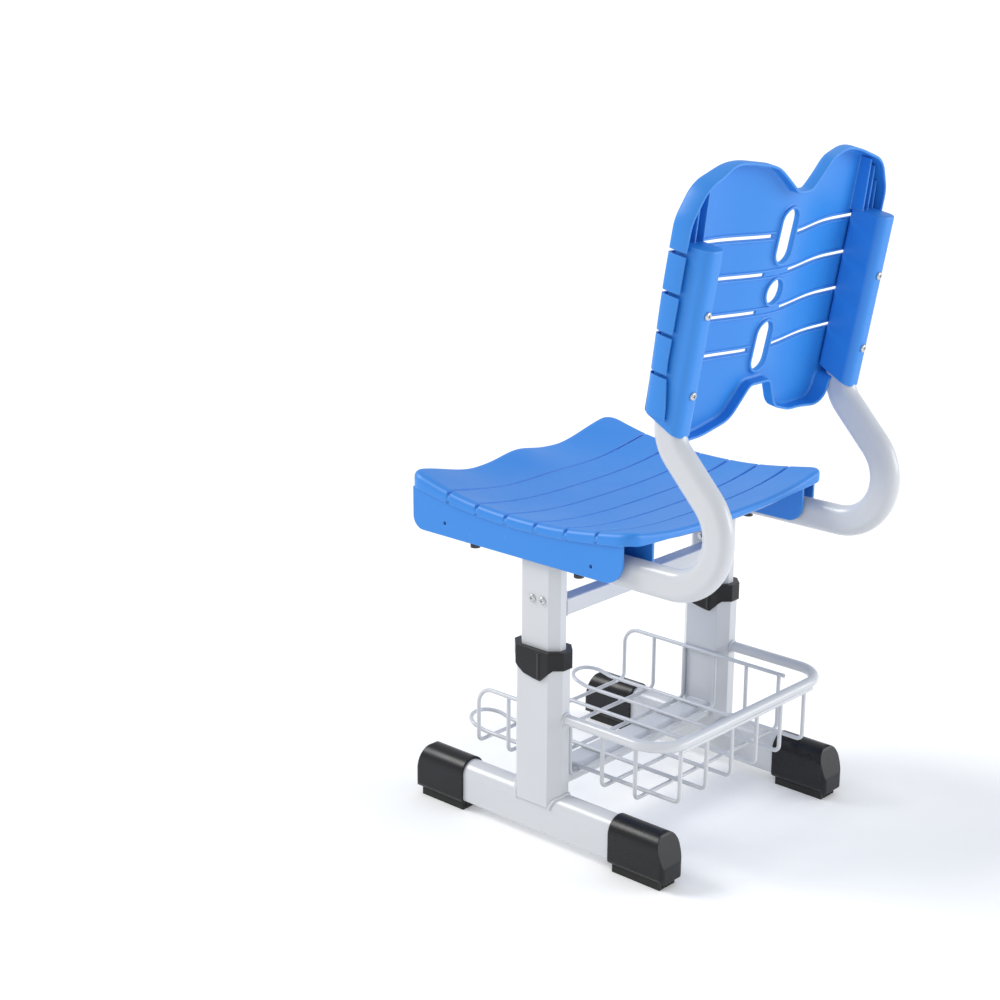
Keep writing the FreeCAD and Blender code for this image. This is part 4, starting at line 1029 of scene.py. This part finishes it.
def build_spot_welds():
    wire = 2.5
    cross_low, cross_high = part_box("basket_cross_wires")
    rail_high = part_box("basket_front_wire")[1]
    cross_z = cross_low.z / MM + wire
    joint_z = cross_z + wire
    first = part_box("basket_front_wire")[0].y / MM - SHIFT_Y + wire
    last = cross_high.y / MM - SHIFT_Y - wire
    rear_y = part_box("basket_rear_rail")[0].y / MM - SHIFT_Y
    rail_z = rail_high.z / MM - wire
    wall_x = cross_high.x / MM - wire
    points = []
    for i in range(6):
        y = first + (last - first) * i / 5
        for j in range(6):
            points.append(at(49.0 * (j - 2.5), y, joint_z))
        if i:
            for side in (1, -1):
                points.append(at(side * wall_x, y, rail_z - wire))
    for j in range(6):
        points.append(at(49.0 * (j - 2.5), rear_y, rail_z))
    mesh = bpy.data.meshes.new("weld_places")
    mesh.from_pydata([tuple(p) for p in points], [], [])
    places = bpy.data.objects.new("basket_spot_welds", mesh)
    bpy.context.scene.collection.objects.link(places)
    lumps = grown(places, SPOT_WELD, Radius=0.0024, Finish=MATERIALS["white_steel"])
    finish_piece(lumps, "base", "white_steel")


build_welds()
build_spot_welds()


# ---- studio ------------------------------------------------------------------------------
def studio_floor():
    bm = bmesh.new()
    bmesh.ops.create_grid(bm, x_segments=1, y_segments=1, size=40.0)
    floor = object_from("studio_floor", bm)
    material, t, shader = new_material("studio_floor")
    base = tint_noise(t, 0.4, (0.96, 0.96, 0.96), (0.98, 0.98, 0.98))
    t.join(base, shader.inputs["Base Color"])
    shader.inputs["Roughness"].default_value = 0.9
    shader.inputs["Specular IOR Level"].default_value = 0.1
    shader.inputs["Emission Color"].default_value = (1.0, 1.0, 1.0, 1.0)
    shader.inputs["Emission Strength"].default_value = 0.12
    floor.data.materials.append(material)


VIEW_AZIMUTH = math.radians(132.54)
VIEW_ELEVATION = math.radians(16.72)
VIEW_ROLL = math.radians(0.21)
CAMERA_PLACE = at(1756.4, 1392.0, 1053.3)
LENS = 70.37


def view_axes():
    """Right, up and back directions of the camera."""
    right = Vector((math.cos(VIEW_AZIMUTH), math.sin(VIEW_AZIMUTH), 0))
    back = Vector((math.sin(VIEW_AZIMUTH) * math.cos(VIEW_ELEVATION),
                   -math.cos(VIEW_AZIMUTH) * math.cos(VIEW_ELEVATION), math.sin(VIEW_ELEVATION)))
    up = back.cross(right)
    c, s = math.cos(VIEW_ROLL), math.sin(VIEW_ROLL)
    return right * c + up * s, up * c - right * s, back


def make_camera():
    right, up, back = view_axes()
    data = bpy.data.cameras.new("camera")
    data.lens = LENS
    data.sensor_width = 36.0
    data.clip_end = 200.0
    camera = bpy.data.objects.new("camera", data)
    bpy.context.scene.collection.objects.link(camera)
    camera.matrix_world = Matrix(((right.x, up.x, back.x, CAMERA_PLACE.x),
                                  (right.y, up.y, back.y, CAMERA_PLACE.y),
                                  (right.z, up.z, back.z, CAMERA_PLACE.z),
                                  (0, 0, 0, 1)))
    bpy.context.scene.camera = camera


def sun(name, direction, strength, angle, tint):
    data = bpy.data.lights.new(name, "SUN")
    data.energy = strength
    data.angle = math.radians(angle)
    data.color = tint
    light = bpy.data.objects.new(name, data)
    bpy.context.scene.collection.objects.link(light)
    light.rotation_mode = "QUATERNION"
    light.rotation_quaternion = Vector(direction).to_track_quat("Z", "Y")


def studio_light():
    right, _, back = view_axes()
    flat_back = Vector((back.x, back.y, 0)).normalized()
    flat_right = Vector((right.x, right.y, 0)).normalized()
    top = Vector((0, 0, 1))
    sun("key", top * 0.85 - flat_right * 1.0 - flat_back * 0.2, 1.5, 24.0, (1.0, 0.99, 0.97))
    sun("fill", flat_right * 1.0 + flat_back * 0.1 + top * 0.15, 1.6, 40.0, (0.97, 0.985, 1.0))
    world = bpy.data.worlds.new("studio")
    world.use_nodes = True
    t = Tree(world.node_tree)
    glow = t.add("ShaderNodeBackground", {"Color": (0.93, 0.96, 1.0, 1.0), "Strength": 0.72})
    out = t.add("ShaderNodeOutputWorld")
    t.join(glow.outputs["Background"], out.inputs["Surface"])
    bpy.context.scene.world = world
    bpy.context.scene.view_settings.view_transform = "Standard"


studio_floor()
make_camera()
studio_light()
